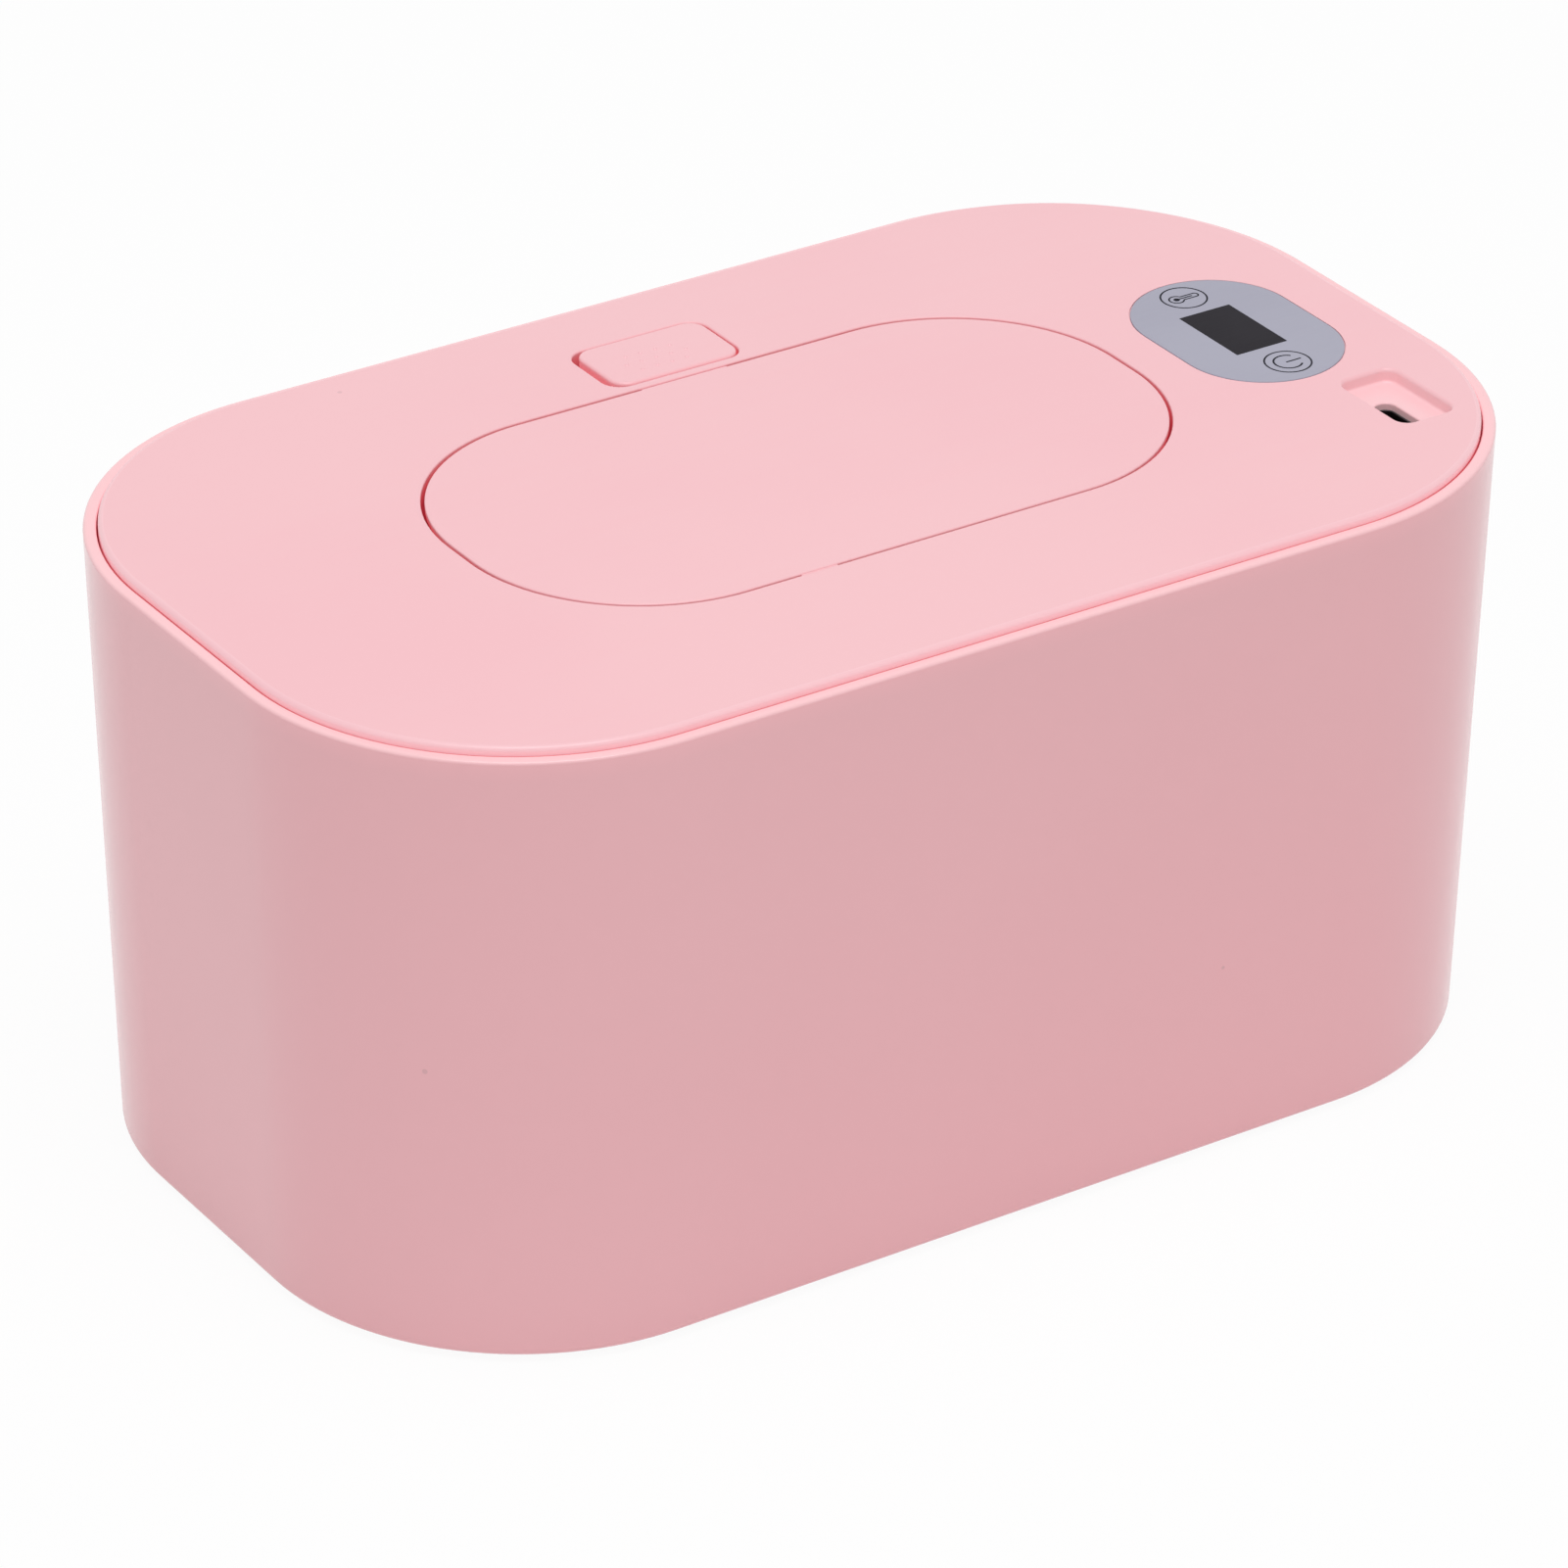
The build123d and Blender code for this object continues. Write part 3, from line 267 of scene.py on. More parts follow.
class Shell:
    """A surface put together from bands, plates and walls, with the facing of every corner."""

    def __init__(self) -> None:
        """Starts with nothing in it."""
        self.points: list[Array] = []
        self.corners: list[Array] = []
        self.sizes: list[Array] = []
        self.facings: list[Array] = []
        self.kinds: list[Array] = []
        self.kind = 0
        self.count = 0

    def add(self, points: Array, faces: Array, facings: Array | None = None) -> "Shell":
        """Adds faces of one kind.

        Args:
            points: The new points.
            faces: Rows of point numbers, counted from the first new point.
            facings: A direction for each corner of each face, or none where angles decide.

        Returns:
            This shell.
        """
        if facings is None:
            facings = np.zeros(faces.shape + (3,))
        self.points.append(points)
        self.corners.append((faces + self.count).ravel())
        self.sizes.append(np.full(len(faces), faces.shape[1]))
        self.facings.append(facings.reshape(-1, 3))
        self.kinds.append(np.full(len(faces), self.kind))
        self.count += len(points)
        return self

    def join(self, other: "Shell") -> "Shell":
        """Adds another shell's faces.

        Args:
            other: The shell that has them.

        Returns:
            This shell.
        """
        self.corners.extend(corners + self.count for corners in other.corners)
        self.points.extend(other.points)
        self.sizes.extend(other.sizes)
        self.facings.extend(other.facings)
        self.kinds.extend(other.kinds)
        self.count += other.count
        return self

    def repeated(self, places: Array) -> "Shell":
        """Repeats the shell: its points plus each place, as one array.

        Args:
            places: Where the copies go, in X, Y and Z.

        Returns:
            A new shell of all the copies.
        """
        places = np.asarray(places, float)
        points = np.concatenate(self.points)
        corners = np.concatenate(self.corners)
        copy = Shell()
        copy.points = [(places[:, None] + points).reshape(-1, 3)]
        copy.corners = [(np.arange(len(places))[:, None] * self.count + corners).ravel()]
        copy.sizes = [np.tile(np.concatenate(self.sizes), len(places))]
        copy.facings = [np.tile(np.concatenate(self.facings), (len(places), 1))]
        copy.kinds = [np.tile(np.concatenate(self.kinds), len(places))]
        copy.count = self.count * len(places)
        return copy

    def band(
        self,
        outline: Outline,
        profile: Array,
        leave: Callable[[Array], Array] | None = None,
    ) -> "Shell":
        """Carries a profile round an outline.

        A point is the outline's ring at the profile's inset, at the profile's height. It faces
        along its spoke and upwards by the profile's own facing there.

        Args:
            outline: The path in plan.
            profile: What bend gives. Upwards and then inwards faces out of a solid.
            leave: Says, from the middles of the faces, which of them to leave out.

        Returns:
            This shell.
        """
        rings, spokes = outline.rings(profile[:, 0]), outline.spokes()
        levels, around = rings.shape[:2]
        heights = np.broadcast_to(profile[:, 1, None], (levels, around))
        rises = np.broadcast_to(profile[:, 3, None], (levels, around))
        points = np.dstack([rings, heights]).reshape(-1, 3)
        facings = np.dstack([-profile[:, 2, None, None] * spokes, rises]).reshape(-1, 3)
        index = np.arange(levels * around).reshape(levels, around)
        ahead = np.roll(index, -1, axis=1)
        faces = np.stack([index[:-1], ahead[:-1], ahead[1:], index[1:]], axis=2)
        apart = np.linalg.norm(np.diff(profile[:, :2], axis=0), axis=1) > SAME_POINT
        faces = faces[apart].reshape(-1, 4)
        if leave is not None:
            faces = faces[~leave(points[faces].mean(axis=1))]
        return self.add(points, faces, facings[faces])

    def plate(
        self, facing: Facing, rings: Sequence[Array], level: float, ahead: bool = True
    ) -> "Shell":
        """Fills a flat shape with triangles.

        Args:
            facing: The axis that it faces.
            rings: Its outer edge, and then its holes.
            level: Its place along the axis.
            ahead: Whether it faces along the axis, or back.

        Returns:
            This shell.
        """
        flat = np.concatenate(rings)
        faces = np.array(tessellate_polygon([ring.tolist() for ring in rings]))
        a, b, c = flat[faces].transpose(1, 0, 2)
        area = (b - a)[:, 0] * (c - a)[:, 1] - (b - a)[:, 1] * (c - a)[:, 0]
        wrong = (area > 0) != (ahead == (facing.hand > 0))
        faces[wrong] = faces[wrong][:, ::-1]
        facings = np.zeros(faces.shape + (3,))
        facings[..., facing.value[2]] = 1.0 if ahead else -1.0
        return self.add(facing.place(flat, level), faces, facings)

    def top(self, rings: Sequence[Array], level: float) -> "Shell":
        """Fills a level shape that faces up."""
        return self.plate(Facing.Z, rings, level)

    def underside(self, rings: Sequence[Array], level: float) -> "Shell":
        """Fills a level shape that faces down."""
        return self.plate(Facing.Z, rings, level, ahead=False)

    def walls(
        self, facing: Facing, ring: Array, start: float, end: float, hole: bool = False
    ) -> "Shell":
        """Draws a ring out along an axis, as the sides of a solid or of a hole.

        Args:
            facing: The axis.
            ring: The ring as drawn across it.
            start: The lower end of the sides.
            end: Their upper end.
            hole: Whether the sides face into the ring.

        Returns:
            This shell.
        """
        after = np.roll(ring, -1, axis=0)
        area = (ring[:, 0] * after[:, 1] - ring[:, 1] * after[:, 0]).sum()
        points = np.vstack([facing.place(ring, start), facing.place(ring, end)])
        index = np.arange(len(ring))
        ahead = np.roll(index, -1)
        faces = np.stack([index, ahead, ahead + len(ring), index + len(ring)], axis=1)
        if (area > 0) != ((facing.hand > 0) != hole):
            faces = faces[:, ::-1]
        return self.add(points, faces)

    def shaft(self, ring: Array, low: float, high: float) -> "Shell":
        """The sides of an upright hole."""
        return self.walls(Facing.Z, ring, low, high, hole=True)

    def prism(self, facing: Facing, rings: Sequence[Array], start: float, end: float) -> "Shell":
        """Draws a closed solid out along an axis: two plates and the walls of every ring.

        Args:
            facing: The axis.
            rings: Its outer edge, and then its holes.
            start: Its lower end.
            end: Its upper end.

        Returns:
            This shell.
        """
        self.plate(facing, rings, start, ahead=False)
        self.plate(facing, rings, end)
        for number, ring in enumerate(rings):
            self.walls(facing, ring, start, end, hole=number > 0)
        return self

    def slab(
        self,
        outline: Outline,
        inset: float,
        levels: tuple[float, float],
        rounds: tuple[float, float],
        steps: int = 8,
        holes: Sequence[Array] = (),
    ) -> "Shell":
        """Makes a slab: its edge, and the flat faces under and over it.

        Args:
            outline: Its outline.
            inset: How far in the flat faces begin.
            levels: Height of the face under it, and of the one over it.
            rounds: Radius of the lower edge, and of the upper one.
            steps: Number of facets in each.
            holes: Holes in both faces.

        Returns:
            This shell.
        """
        low, high = levels
        rings = [outline.ring(inset), *holes]
        self.band(outline, slab_edge(inset, low, high, rounds, steps))
        return self.underside(rings, low).top(rings, high)

    def stroke(
        self, path: Array, width: float, level: float, thickness: float, closed: bool = False
    ) -> "Shell":
        """Prints a line of ink along a path on a level face.

        Its four edges are the path moved sideways by half the width, at the level and one
        thickness above it.

        Args:
            path: Points of the line's middle, in plan.
            width: Width of the line.
            level: Height of the face.
            thickness: Thickness of the ink.
            closed: Whether the path's end joins its start.

        Returns:
            This shell.
        """
        if closed:
            along = np.roll(path, -1, axis=0) - np.roll(path, 1, axis=0)
        else:
            along = np.gradient(path, axis=0)
        along /= np.linalg.norm(along, axis=1, keepdims=True)
        left = np.stack([-along[:, 1], along[:, 0]], axis=1)
        sides = np.array([-0.5, -0.5, 0.5, 0.5])[:, None, None] * width
        heights = np.array([level, level + thickness, level + thickness, level])
        edges = path + sides * left
        rises = np.broadcast_to(heights[:, None], edges.shape[:2])
        points = np.dstack([edges, rises]).reshape(-1, 3)
        index = np.arange(4 * len(path)).reshape(4, -1)
        below = np.roll(index, -1, axis=0)
        ahead = np.roll(index, -1, axis=1)
        faces = np.stack([index, ahead, np.roll(ahead, -1, axis=0), below], axis=2)
        faces = (faces if closed else faces[:, :-1]).reshape(-1, 4)
        if not closed:
            faces = np.vstack([faces, index[::-1, 0], index[:, -1]])
        return self.add(points, faces)

    def settled(self) -> tuple[Array, Array, Array, Array, Array]:
        """Merges points in one place, and drops the faces that this leaves without area.

        Returns:
            The points, the faces' corners in one row, the number of corners of each face, the
            facing of each corner, and the kind of each face.
        """
        points = np.concatenate(self.points)
        corners = np.concatenate(self.corners)
        sizes = np.concatenate(self.sizes)
        _, first, same = np.unique(
            np.round(points, SAME_DIGITS), axis=0, return_index=True, return_inverse=True
        )
        corners = same.ravel()[corners]
        starts = np.cumsum(sizes) - sizes
        face = np.repeat(np.arange(len(sizes)), sizes)
        before = np.arange(len(corners)) - 1
        before[starts] = starts + sizes - 1
        keep = corners != corners[before]
        left = np.bincount(face[keep], minlength=len(sizes))
        keep &= left[face] > 2
        facings = np.concatenate(self.facings)[keep]
        kinds = np.concatenate(self.kinds)[left > 2]
        return points[first], corners[keep], left[left > 2], facings, kinds

    def piece(
        self,
        name: str,
        finishes: "Sequence[Finish]",
        body: Body,
        slot: str,
        replaces: Sequence[str] = (),
    ) -> bpy.types.Object:
        """slot: The record's material slot; not used.
            replaces: The CAD nodes that it stands for.

        Returns:
            The new object.
        """
        points, corners, sizes, facings, kinds = self.settled()
        mesh = bpy.data.meshes.new(name)
        mesh.from_pydata(points * MM, [], np.split(corners, np.cumsum(sizes)[:-1]))
        mesh.shade_smooth()
        mesh.set_sharp_from_angle(angle=SHARP_ANGLE)
        mesh.normals_split_custom_set(facings)
        for finish in finishes:
            mesh.materials.append(finish.material())
        mesh.polygons.foreach_set("material_index", kinds.astype(np.int32))
        made = bpy.data.objects.new(name, mesh)
        bpy.context.scene.collection.objects.link(made)
        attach(made, body.value)
        if replaces:
            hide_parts(*replaces)
        log.info("%s: %d faces, rides on %s", name, len(mesh.polygons), body.value)
        return made


# ---------------------------------------------------------------- finishes


def tint(red: int, green: int, blue: int) -> Colour:
    """Turns a display colour into a linear one: each part follows the sRGB curve.

    Args:
        red: Its red part, from 0 to 255.
        green: Its green part.
        blue: Its blue part.

    Returns:
        The linear colour, and 1 for its alpha.
    """
    parts = np.array([red, green, blue]) / 255
    curved = np.where(parts <= 0.04045, parts / 12.92, ((parts + 0.055) / 1.055) ** 2.4)
    return (*(float(part) for part in curved), 1.0)


class Wiring:
    """Lays nodes in one node tree, and joins them."""

    def __init__(self, tree: bpy.types.NodeTree) -> None:
        """Works in that tree."""
        self.tree = tree

    def show(self, surface: Socket, kind: str = "OutputMaterial") -> None:
        """Makes a shader the surface that shows."""
        self.add(kind, {"Surface": surface})

    def add(
        self, kind: str, inputs: dict[int | str, object] | None = None, **settings: object
    ) -> bpy.types.Node:
        """Adds a node.

        Args:
            kind: The node's type, without the word that all shader nodes start with.
            inputs: Values or other nodes' outputs, by the input's name or number.
            settings: The node's own properties.

        Returns:
            The node.
        """
        node = self.tree.nodes.new("ShaderNode" + kind)
        for name, value in settings.items():
            setattr(node, name, value)
        for name, value in (inputs or {}).items():
            if isinstance(value, Socket):
                self.tree.links.new(value, node.inputs[name])
            else:
                node.inputs[name].default_value = value
        return node

    def math(self, operation: str, first: object, second: object = 0.0) -> Socket:
        """The outcome of one sum."""
        return self.add("Math", {0: first, 1: second}, operation=operation).outputs[0]

    def clear(self, operation: str, first: object, second: object) -> Socket:
        """The outcome of one sum, kept from 0 to 1."""
        inputs = {0: first, 1: second}
        return self.add("Math", inputs, operation=operation, use_clamp=True).outputs[0]

    def between(self, value: Socket, low: float, high: float) -> Socket:
        """Finds how far a value has gone between two others, smoothly.

        Args:
            value: The value.
            low: Where it counts as 0.
            high: Where it counts as 1.

        Returns:
            The share, from 0 to 1.
        """
        inputs = {"Value": value, "From Min": low, "From Max": high}
        node = self.add("MapRange", inputs, interpolation_type="SMOOTHSTEP")
        return node.outputs["Result"]

    def mix(self, share: object, first: object, second: object) -> Socket:
        """The first colour, with a share of the second."""
        node = self.add("Mix", {0: share, 6: first, 7: second}, data_type="RGBA")
        return node.outputs[2]

    def place(self, stretch: tuple[float, float, float] = (1.0, 1.0, 1.0)) -> Socket:
        """Object coordinates, stretched."""
        where = self.add("TexCoord").outputs["Object"]
        return self.add("Mapping", {"Vector": where, "Scale": stretch}).outputs[0]

    def noise(self, where: Socket, scale: object, detail: float = 2.0) -> Socket:
        """Cloudy noise about one half."""
        inputs = {"Vector": where, "Scale": scale, "Detail": detail}
        return self.add("TexNoise", inputs).outputs["Fac"]

    def cells(self, scale: object, **settings: str) -> bpy.types.Node:
        """A pattern of cells."""
        return self.add("TexVoronoi", {"Vector": self.place(), "Scale": scale}, **settings)


def wiring(owner: bpy.types.Material | bpy.types.World) -> Wiring:
    """Starts afresh on the nodes of a material or a world.

    Args:
        owner: The material or the world.

    Returns:
        The wiring of its empty tree.
    """
    owner.use_nodes = True
    owner.node_tree.nodes.clear()
    return Wiring(owner.node_tree)


@dataclass(frozen=True)
class Pattern:
    """A node group that finishes share.

    Attributes:
        name: The group's name.
        gives: The output's name, where Colour is a colour and anything else a value.
        wire: Lays the group's nodes and returns what it gives.
        takes: The default of each input: a number, or a colour.
    """

    name: str
    gives: str
    wire: Callable[[Wiring, Takes], Socket]
    takes: dict[str, float | Colour]

    def group(self) -> bpy.types.NodeTree:
        """Finds the node group, or makes it.

        Returns:
            The group.
        """
        found = bpy.data.node_groups.get(self.name)
        if found:
            return found
        made = bpy.data.node_groups.new(self.name, "ShaderNodeTree")
        for label, default in self.takes.items():
            kind = "NodeSocketColor" if isinstance(default, tuple) else "NodeSocketFloat"
            socket = made.interface.new_socket(label, in_out="INPUT", socket_type=kind)
            socket.default_value = default
        kind = "NodeSocketColor" if self.gives == "Colour" else "NodeSocketFloat"
        made.interface.new_socket(self.gives, in_out="OUTPUT", socket_type=kind)
        entry = made.nodes.new("NodeGroupInput")
        outcome = self.wire(Wiring(made), {label: entry.outputs[label] for label in self.takes})
        made.links.new(outcome, made.nodes.new("NodeGroupOutput").inputs[self.gives])
        return made

    def use(self, work: Wiring, **inputs: float | Colour) -> Socket:
        """What the group gives for some inputs."""
        return work.add("Group", inputs, node_tree=self.group()).outputs[0]


def mottled(work: Wiring, takes: Takes) -> Socket:
    """Two tones in soft clouds: noise shares the shade into the colour."""
    cloud = work.between(work.noise(work.place(), takes["Scale"], 3.0), 0.35, 0.65)
    return work.mix(work.math("MULTIPLY", cloud, takes["Amount"]), takes["Colour"], takes["Shade"])


def specked(work: Wiring, takes: Takes) -> Socket:
    """Marks sparse specks: the middles of a few cells, picked by the cells' own tone.

    Args:
        work: Lays the nodes.
        takes: The group's inputs.

    Returns:
        A mask, 1 in a speck.
    """
    cells = work.cells(takes["Scale"])
    near = work.math("LESS_THAN", cells.outputs["Distance"], takes["Size"])
    tone = work.add("SeparateColor", {0: cells.outputs["Color"]}).outputs[0]
    return work.math("MULTIPLY", near, work.math("LESS_THAN", tone, takes["Share"]))


def grained(work: Wiring, takes: Takes) -> Socket:
    """Lays a spark-eroded mould's texture: fine noise with a coarser one over it.

    Args:
        work: Lays the nodes.
        takes: The group's inputs.

    Returns:
        The height.
    """
    fine = work.noise(work.place(), takes["Scale"])
    coarse = work.noise(work.place(), work.math("MULTIPLY", takes["Scale"], 0.22), 1.0)
    return work.math("ADD", fine, work.math("MULTIPLY", coarse, 0.8))


def rubbed(work: Wiring, takes: Takes) -> Socket:
    """Moves roughness from low to high, by wide clouds and faint streaks of handling.

    Args:
        work: Lays the nodes.
        takes: The group's inputs.

    Returns:
        The roughness.
    """
    cloud = work.noise(work.place(), takes["Scale"])
    streak = work.noise(work.place((1.0, 14.0, 3.0)), work.math("MULTIPLY", takes["Scale"], 3.0))
    both = work.between(work.math("ADD", cloud, streak), 0.75, 1.25)
    spread = work.math("SUBTRACT", takes["High"], takes["Low"])
    return work.math("ADD", takes["Low"], work.math("MULTIPLY", both, spread))


def brushed(work: Wiring, takes: Takes) -> Socket:
    """Rolling marks: noise drawn out a long way along X."""
    return work.noise(work.place((0.02, 1.0, 1.0)), takes["Scale"], 3.0)


def celled(work: Wiring, takes: Takes) -> Socket:
    """Closed foam cells: the distance to the middle of the nearest one."""
    return work.cells(takes["Scale"]).outputs[0]


def tracked(work: Wiring, takes: Takes) -> Socket:
    """A heater's track: bands of a wave that run along X."""
    wave = {"Vector": work.place(), "Scale": takes["Scale"]}
    return work.between(work.add("TexWave", wave, bands_direction="Y").outputs["Fac"], 0.42, 0.5)


def routed(work: Wiring, takes: Takes) -> Socket:
    """Copper under a board's mask: the edges of square cells, as runs of track."""
    return work.between(work.cells(takes["Scale"], distance="CHEBYCHEV").outputs[0], 0.36, 0.40)


def painted_light_share_by_height(work: Wiring, takes: Takes) -> Socket:
    """Finds the share of painted light and painted shade at a point, by its height in millimetres.

    Args:
        work: Lays the nodes.
        takes: The group's inputs.

    Returns:
        The share, 0 at the Mouth height and 1 at the Depth height.
    """
    height = work.add("SeparateXYZ", {0: work.place()}).outputs["Z"]
    level = work.math("DIVIDE", height, MM)
    span = work.math("SUBTRACT", takes["Mouth"], takes["Depth"])
    return work.clear("DIVIDE", work.math("SUBTRACT", takes["Mouth"], level), span)


TONE = Pattern("mottled_tone", "Colour", mottled, {
    "Colour": (0.8, 0.8, 0.8, 1.0), "Shade": (0.7, 0.7, 0.7, 1.0), "Scale": 20.0, "Amount": 1.0
})
SPECKS = Pattern("moulding_specks", "Mask", specked, {"Scale": 100.0, "Size": 0.1, "Share": 0.1})
GRAIN = Pattern("moulded_grain", "Height", grained, {"Scale": 1000.0})
RUB = Pattern("rubbed_roughness", "Roughness", rubbed, {"Low": 0.3, "High": 0.4, "Scale": 20.0})
ROLLING = Pattern("rolling_marks", "Height", brushed, {"Scale": 2000.0})
CELLS = Pattern("foam_cells", "Height", celled, {"Scale": 1000.0})
TRACK = Pattern("heater_track", "Mask", tracked, {"Scale": 30.0})
COPPER = Pattern("copper_runs", "Mask", routed, {"Scale": 300.0})
# Height mask that places the painted glow, the painted shade and the painted highlight.
PAINTED_LIGHT_MASK = Pattern("painted_light_height_share", "Depth", painted_light_share_by_height, {"Mouth": 96.0, "Depth": 95.0})


@dataclass(frozen=True)
class Finish:
    """What every finish has: its name, its two tones and how rough it is.

    Attributes:
        name: The material's name.
        colour: Display colour.
        shade: The second tone that the colour drifts to.
        roughness: Lowest and highest roughness.
        scale: Size of the drift, in clouds to the metre.
    """

    name: str
    colour: tuple[int, int, int]
    shade: tuple[int, int, int]
    roughness: tuple[float, float] = (0.4, 0.5)
    scale: float = 30.0

    def material(self) -> bpy.types.Material:
        """Finds the material, or makes it.

        Returns:
            The material.
        """
        found = bpy.data.materials.get(self.name)
        if found:
            return found
        made = bpy.data.materials.new(self.name)
        work = wiring(made)
        work.show(work.add("BsdfPrincipled", self.surface(work)).outputs[0])
        return made

    def surface(self, work: Wiring) -> Surface:
        """What the shader takes: the drifting colour and the worked roughness."""
        return {"Base Color": self.tone(work), "Roughness": self.rub(work)}

    def tone(self, work: Wiring) -> Socket:
        """The drifting colour."""
        colour, shade = tint(*self.colour), tint(*self.shade)
        return TONE.use(work, Colour=colour, Shade=shade, Scale=self.scale)

    def rub(self, work: Wiring) -> Socket:
        """The roughness, with its marks of handling."""
        low, high = self.roughness
        return RUB.use(work, Low=low, High=high, Scale=self.scale)

    def bump(self, work: Wiring, height: Socket, depth: float) -> Socket:
        """The normal of a surface raised by a height times a depth in millimetres."""
        inputs = {"Height": height, "Distance": depth * MM, "Strength": 1.0}
        return work.add("Bump", inputs).outputs[0]


@dataclass(frozen=True)
class MouldedPlastic(Finish):
    """Injection-moulded plastic.

    Attributes:
        grain: Depth of the mould's texture in millimetres.
        grain_scale: Fineness of that texture.
        coat: Weight of the polished skin.
        specks: Share of the specks that show.
        depth: How much light goes a little way in.
        gloss: Strength of its reflections, where 0.5 is a plain polish.
        joint: Heights where the painted glow and the painted shade start, and where they are full,
            in millimetres.
        glow: Painted glow: light that the plastic gives off, though it is no lamp, standing in for
            light that reaches into gaps and over edges.
        painted_shade: Painted shade: how much green and blue the colour loses where the painted
            glow is.
        painted_highlight_heights: Heights between which the colour pales towards a painted
            highlight on the rim, in millimetres.
    """

    grain: float = 0.001
    grain_scale: float = 2500.0
    coat: float = 0.0
    specks: float = 0.08
    depth: float = 0.0
    gloss: float = 0.5
    # Painted glow and painted shade by height; none by default.
    joint: tuple[float, float] | None = None
    glow: tuple[int, int, int] = (80, 18, 28)
    painted_shade: float = 0.15
    # Painted highlight on a rim by height; none by default.
    painted_highlight_heights: tuple[float, float] | None = None

    def coloured(self, work: Wiring) -> Socket:
        """Lays the drifting colour with a few dark specks.

        Args:
            work: Lays the material's nodes.

        Returns:
            The colour.
        """
        speck = SPECKS.use(work, Scale=90.0, Size=0.035, Share=self.specks)
        dark = tint(*(part * 2 // 3 for part in self.colour))
        return work.mix(work.math("MULTIPLY", speck, 0.22), self.tone(work), dark)

    def painted_glow_and_shade(self, work: Wiring, colour: Socket) -> Surface:
        """Paints shade and light by height: deepens the colour as painted shade, and adds a
        painted glow.

        Args:
            work: Lays the material's nodes.
            colour: The colour so far.

        Returns:
            What the shader takes for it.
        """
        # Share of the painted shade and the painted glow, by height.
        deep = PAINTED_LIGHT_MASK.use(work, Mouth=self.joint[0], Depth=self.joint[1])
        kept = (1.0, 1.0 - self.painted_shade, 1.0 - self.painted_shade)
        # The colour with green and blue taken out: painted shade.
        red = (round(part * share) for part, share in zip(self.colour, kept))
        return {
            "Base Color": work.mix(deep, colour, tint(*red)),
            # Emission as painted glow: the plastic is no lamp.
            "Emission Color": work.mix(deep, (0.0, 0.0, 0.0, 1.0), tint(*self.glow)),
            "Emission Strength": 1.0,
        }

    def painted_rim_highlight(self, work: Wiring, colour: Socket) -> Surface:
        """Paints a highlight on the rim: pales the colour towards white, by height.

        Args:
            work: Lays the material's nodes.
            colour: The colour so far.

        Returns:
            What the shader takes for it.
        """
        # Painted highlight: the colour a fifth of the way to white.
        share = 0.2
        pale = (round(part + share * (255 - part)) for part in self.colour)
        high = PAINTED_LIGHT_MASK.use(work, Mouth=self.painted_highlight_heights[0], Depth=self.painted_highlight_heights[1])
        return {"Base Color": work.mix(high, colour, tint(*pale))}

    def surface(self, work: Wiring) -> Surface:
        """Colours the plastic with its painted glow, shade and highlight, and gives it worked
        roughness and a fine texture.

        Args:
            work: Lays the material's nodes.

        Returns:
            What the shader takes.
        """
        grain = GRAIN.use(work, Scale=self.grain_scale)
        made = {
            "Base Color": self.coloured(work),
            "Roughness": self.rub(work),
            "Normal": self.bump(work, grain, self.grain),
            "Coat Weight": self.coat,
            "Coat Roughness": 0.08,
            "Specular IOR Level": self.gloss,
            "Subsurface Weight": self.depth,
            "Subsurface Scale": 1.5 * MM,
        }
        # Painted glow and shade in gaps, and a painted highlight on a rim, by height.
        if self.joint:
            made |= self.painted_glow_and_shade(work, made["Base Color"])
        if self.painted_highlight_heights:
            made |= self.painted_rim_highlight(work, made["Base Color"])
        return made


@dataclass(frozen=True)
class SoftRubber(Finish):
    """Rubber, silicone or a cable's jacket, with a soft edge of light and a dusty bloom.

    Attributes:
        bloom: How strongly its grazing edge lightens.
    """

    bloom: float = 0.3

    def surface(self, work: Wiring) -> Surface:
        """Mottled tone with a fine matt texture."""
        normal = self.bump(work, GRAIN.use(work, Scale=3000.0), 0.006)
        light = {"Sheen Weight": self.bloom, "Specular IOR Level": 0.35}
        return super().surface(work) | light | {"Normal": normal}


@dataclass(frozen=True)
class CellFoam(Finish):
    """Closed-cell foam.

    Attributes:
        cells: Cells to the metre.
    """

    cells: float = 1400.0

    def surface(self, work: Wiring) -> Surface:
        """Makes each cell a small pit with a paler wall round it.

        Args:
            work: Lays the material's nodes.

        Returns:
            What the shader takes.
        """
        cell = CELLS.use(work, Scale=self.cells)
        pale = work.mix(work.between(cell, 0.2, 0.7), self.tone(work), tint(*self.shade))
        normal = self.bump(work, cell, 0.12)
        return {"Base Color": pale, "Roughness": self.rub(work), "Normal": normal}


@dataclass(frozen=True)
class BareMetal(Finish):
    """Rolled or plated metal.

    Attributes:
        marks: Depth of the rolling marks in millimetres.
        fineness: Rolling marks to the metre.
    """

    marks: float = 0.004
    fineness: float = 3000.0

    def surface(self, work: Wiring) -> Surface:
        """Lays long rolling marks in both the height and the roughness.

        Args:
            work: Lays the material's nodes.

        Returns:
            What the shader takes.
        """
        marks = ROLLING.use(work, Scale=self.fineness)
        low, high = self.roughness
        return {
            "Base Color": self.tone(work),
            "Roughness": work.math("ADD", work.math("MULTIPLY", marks, high - low), low),
            "Normal": self.bump(work, marks, self.marks),
            "Metallic": 1.0,
        }


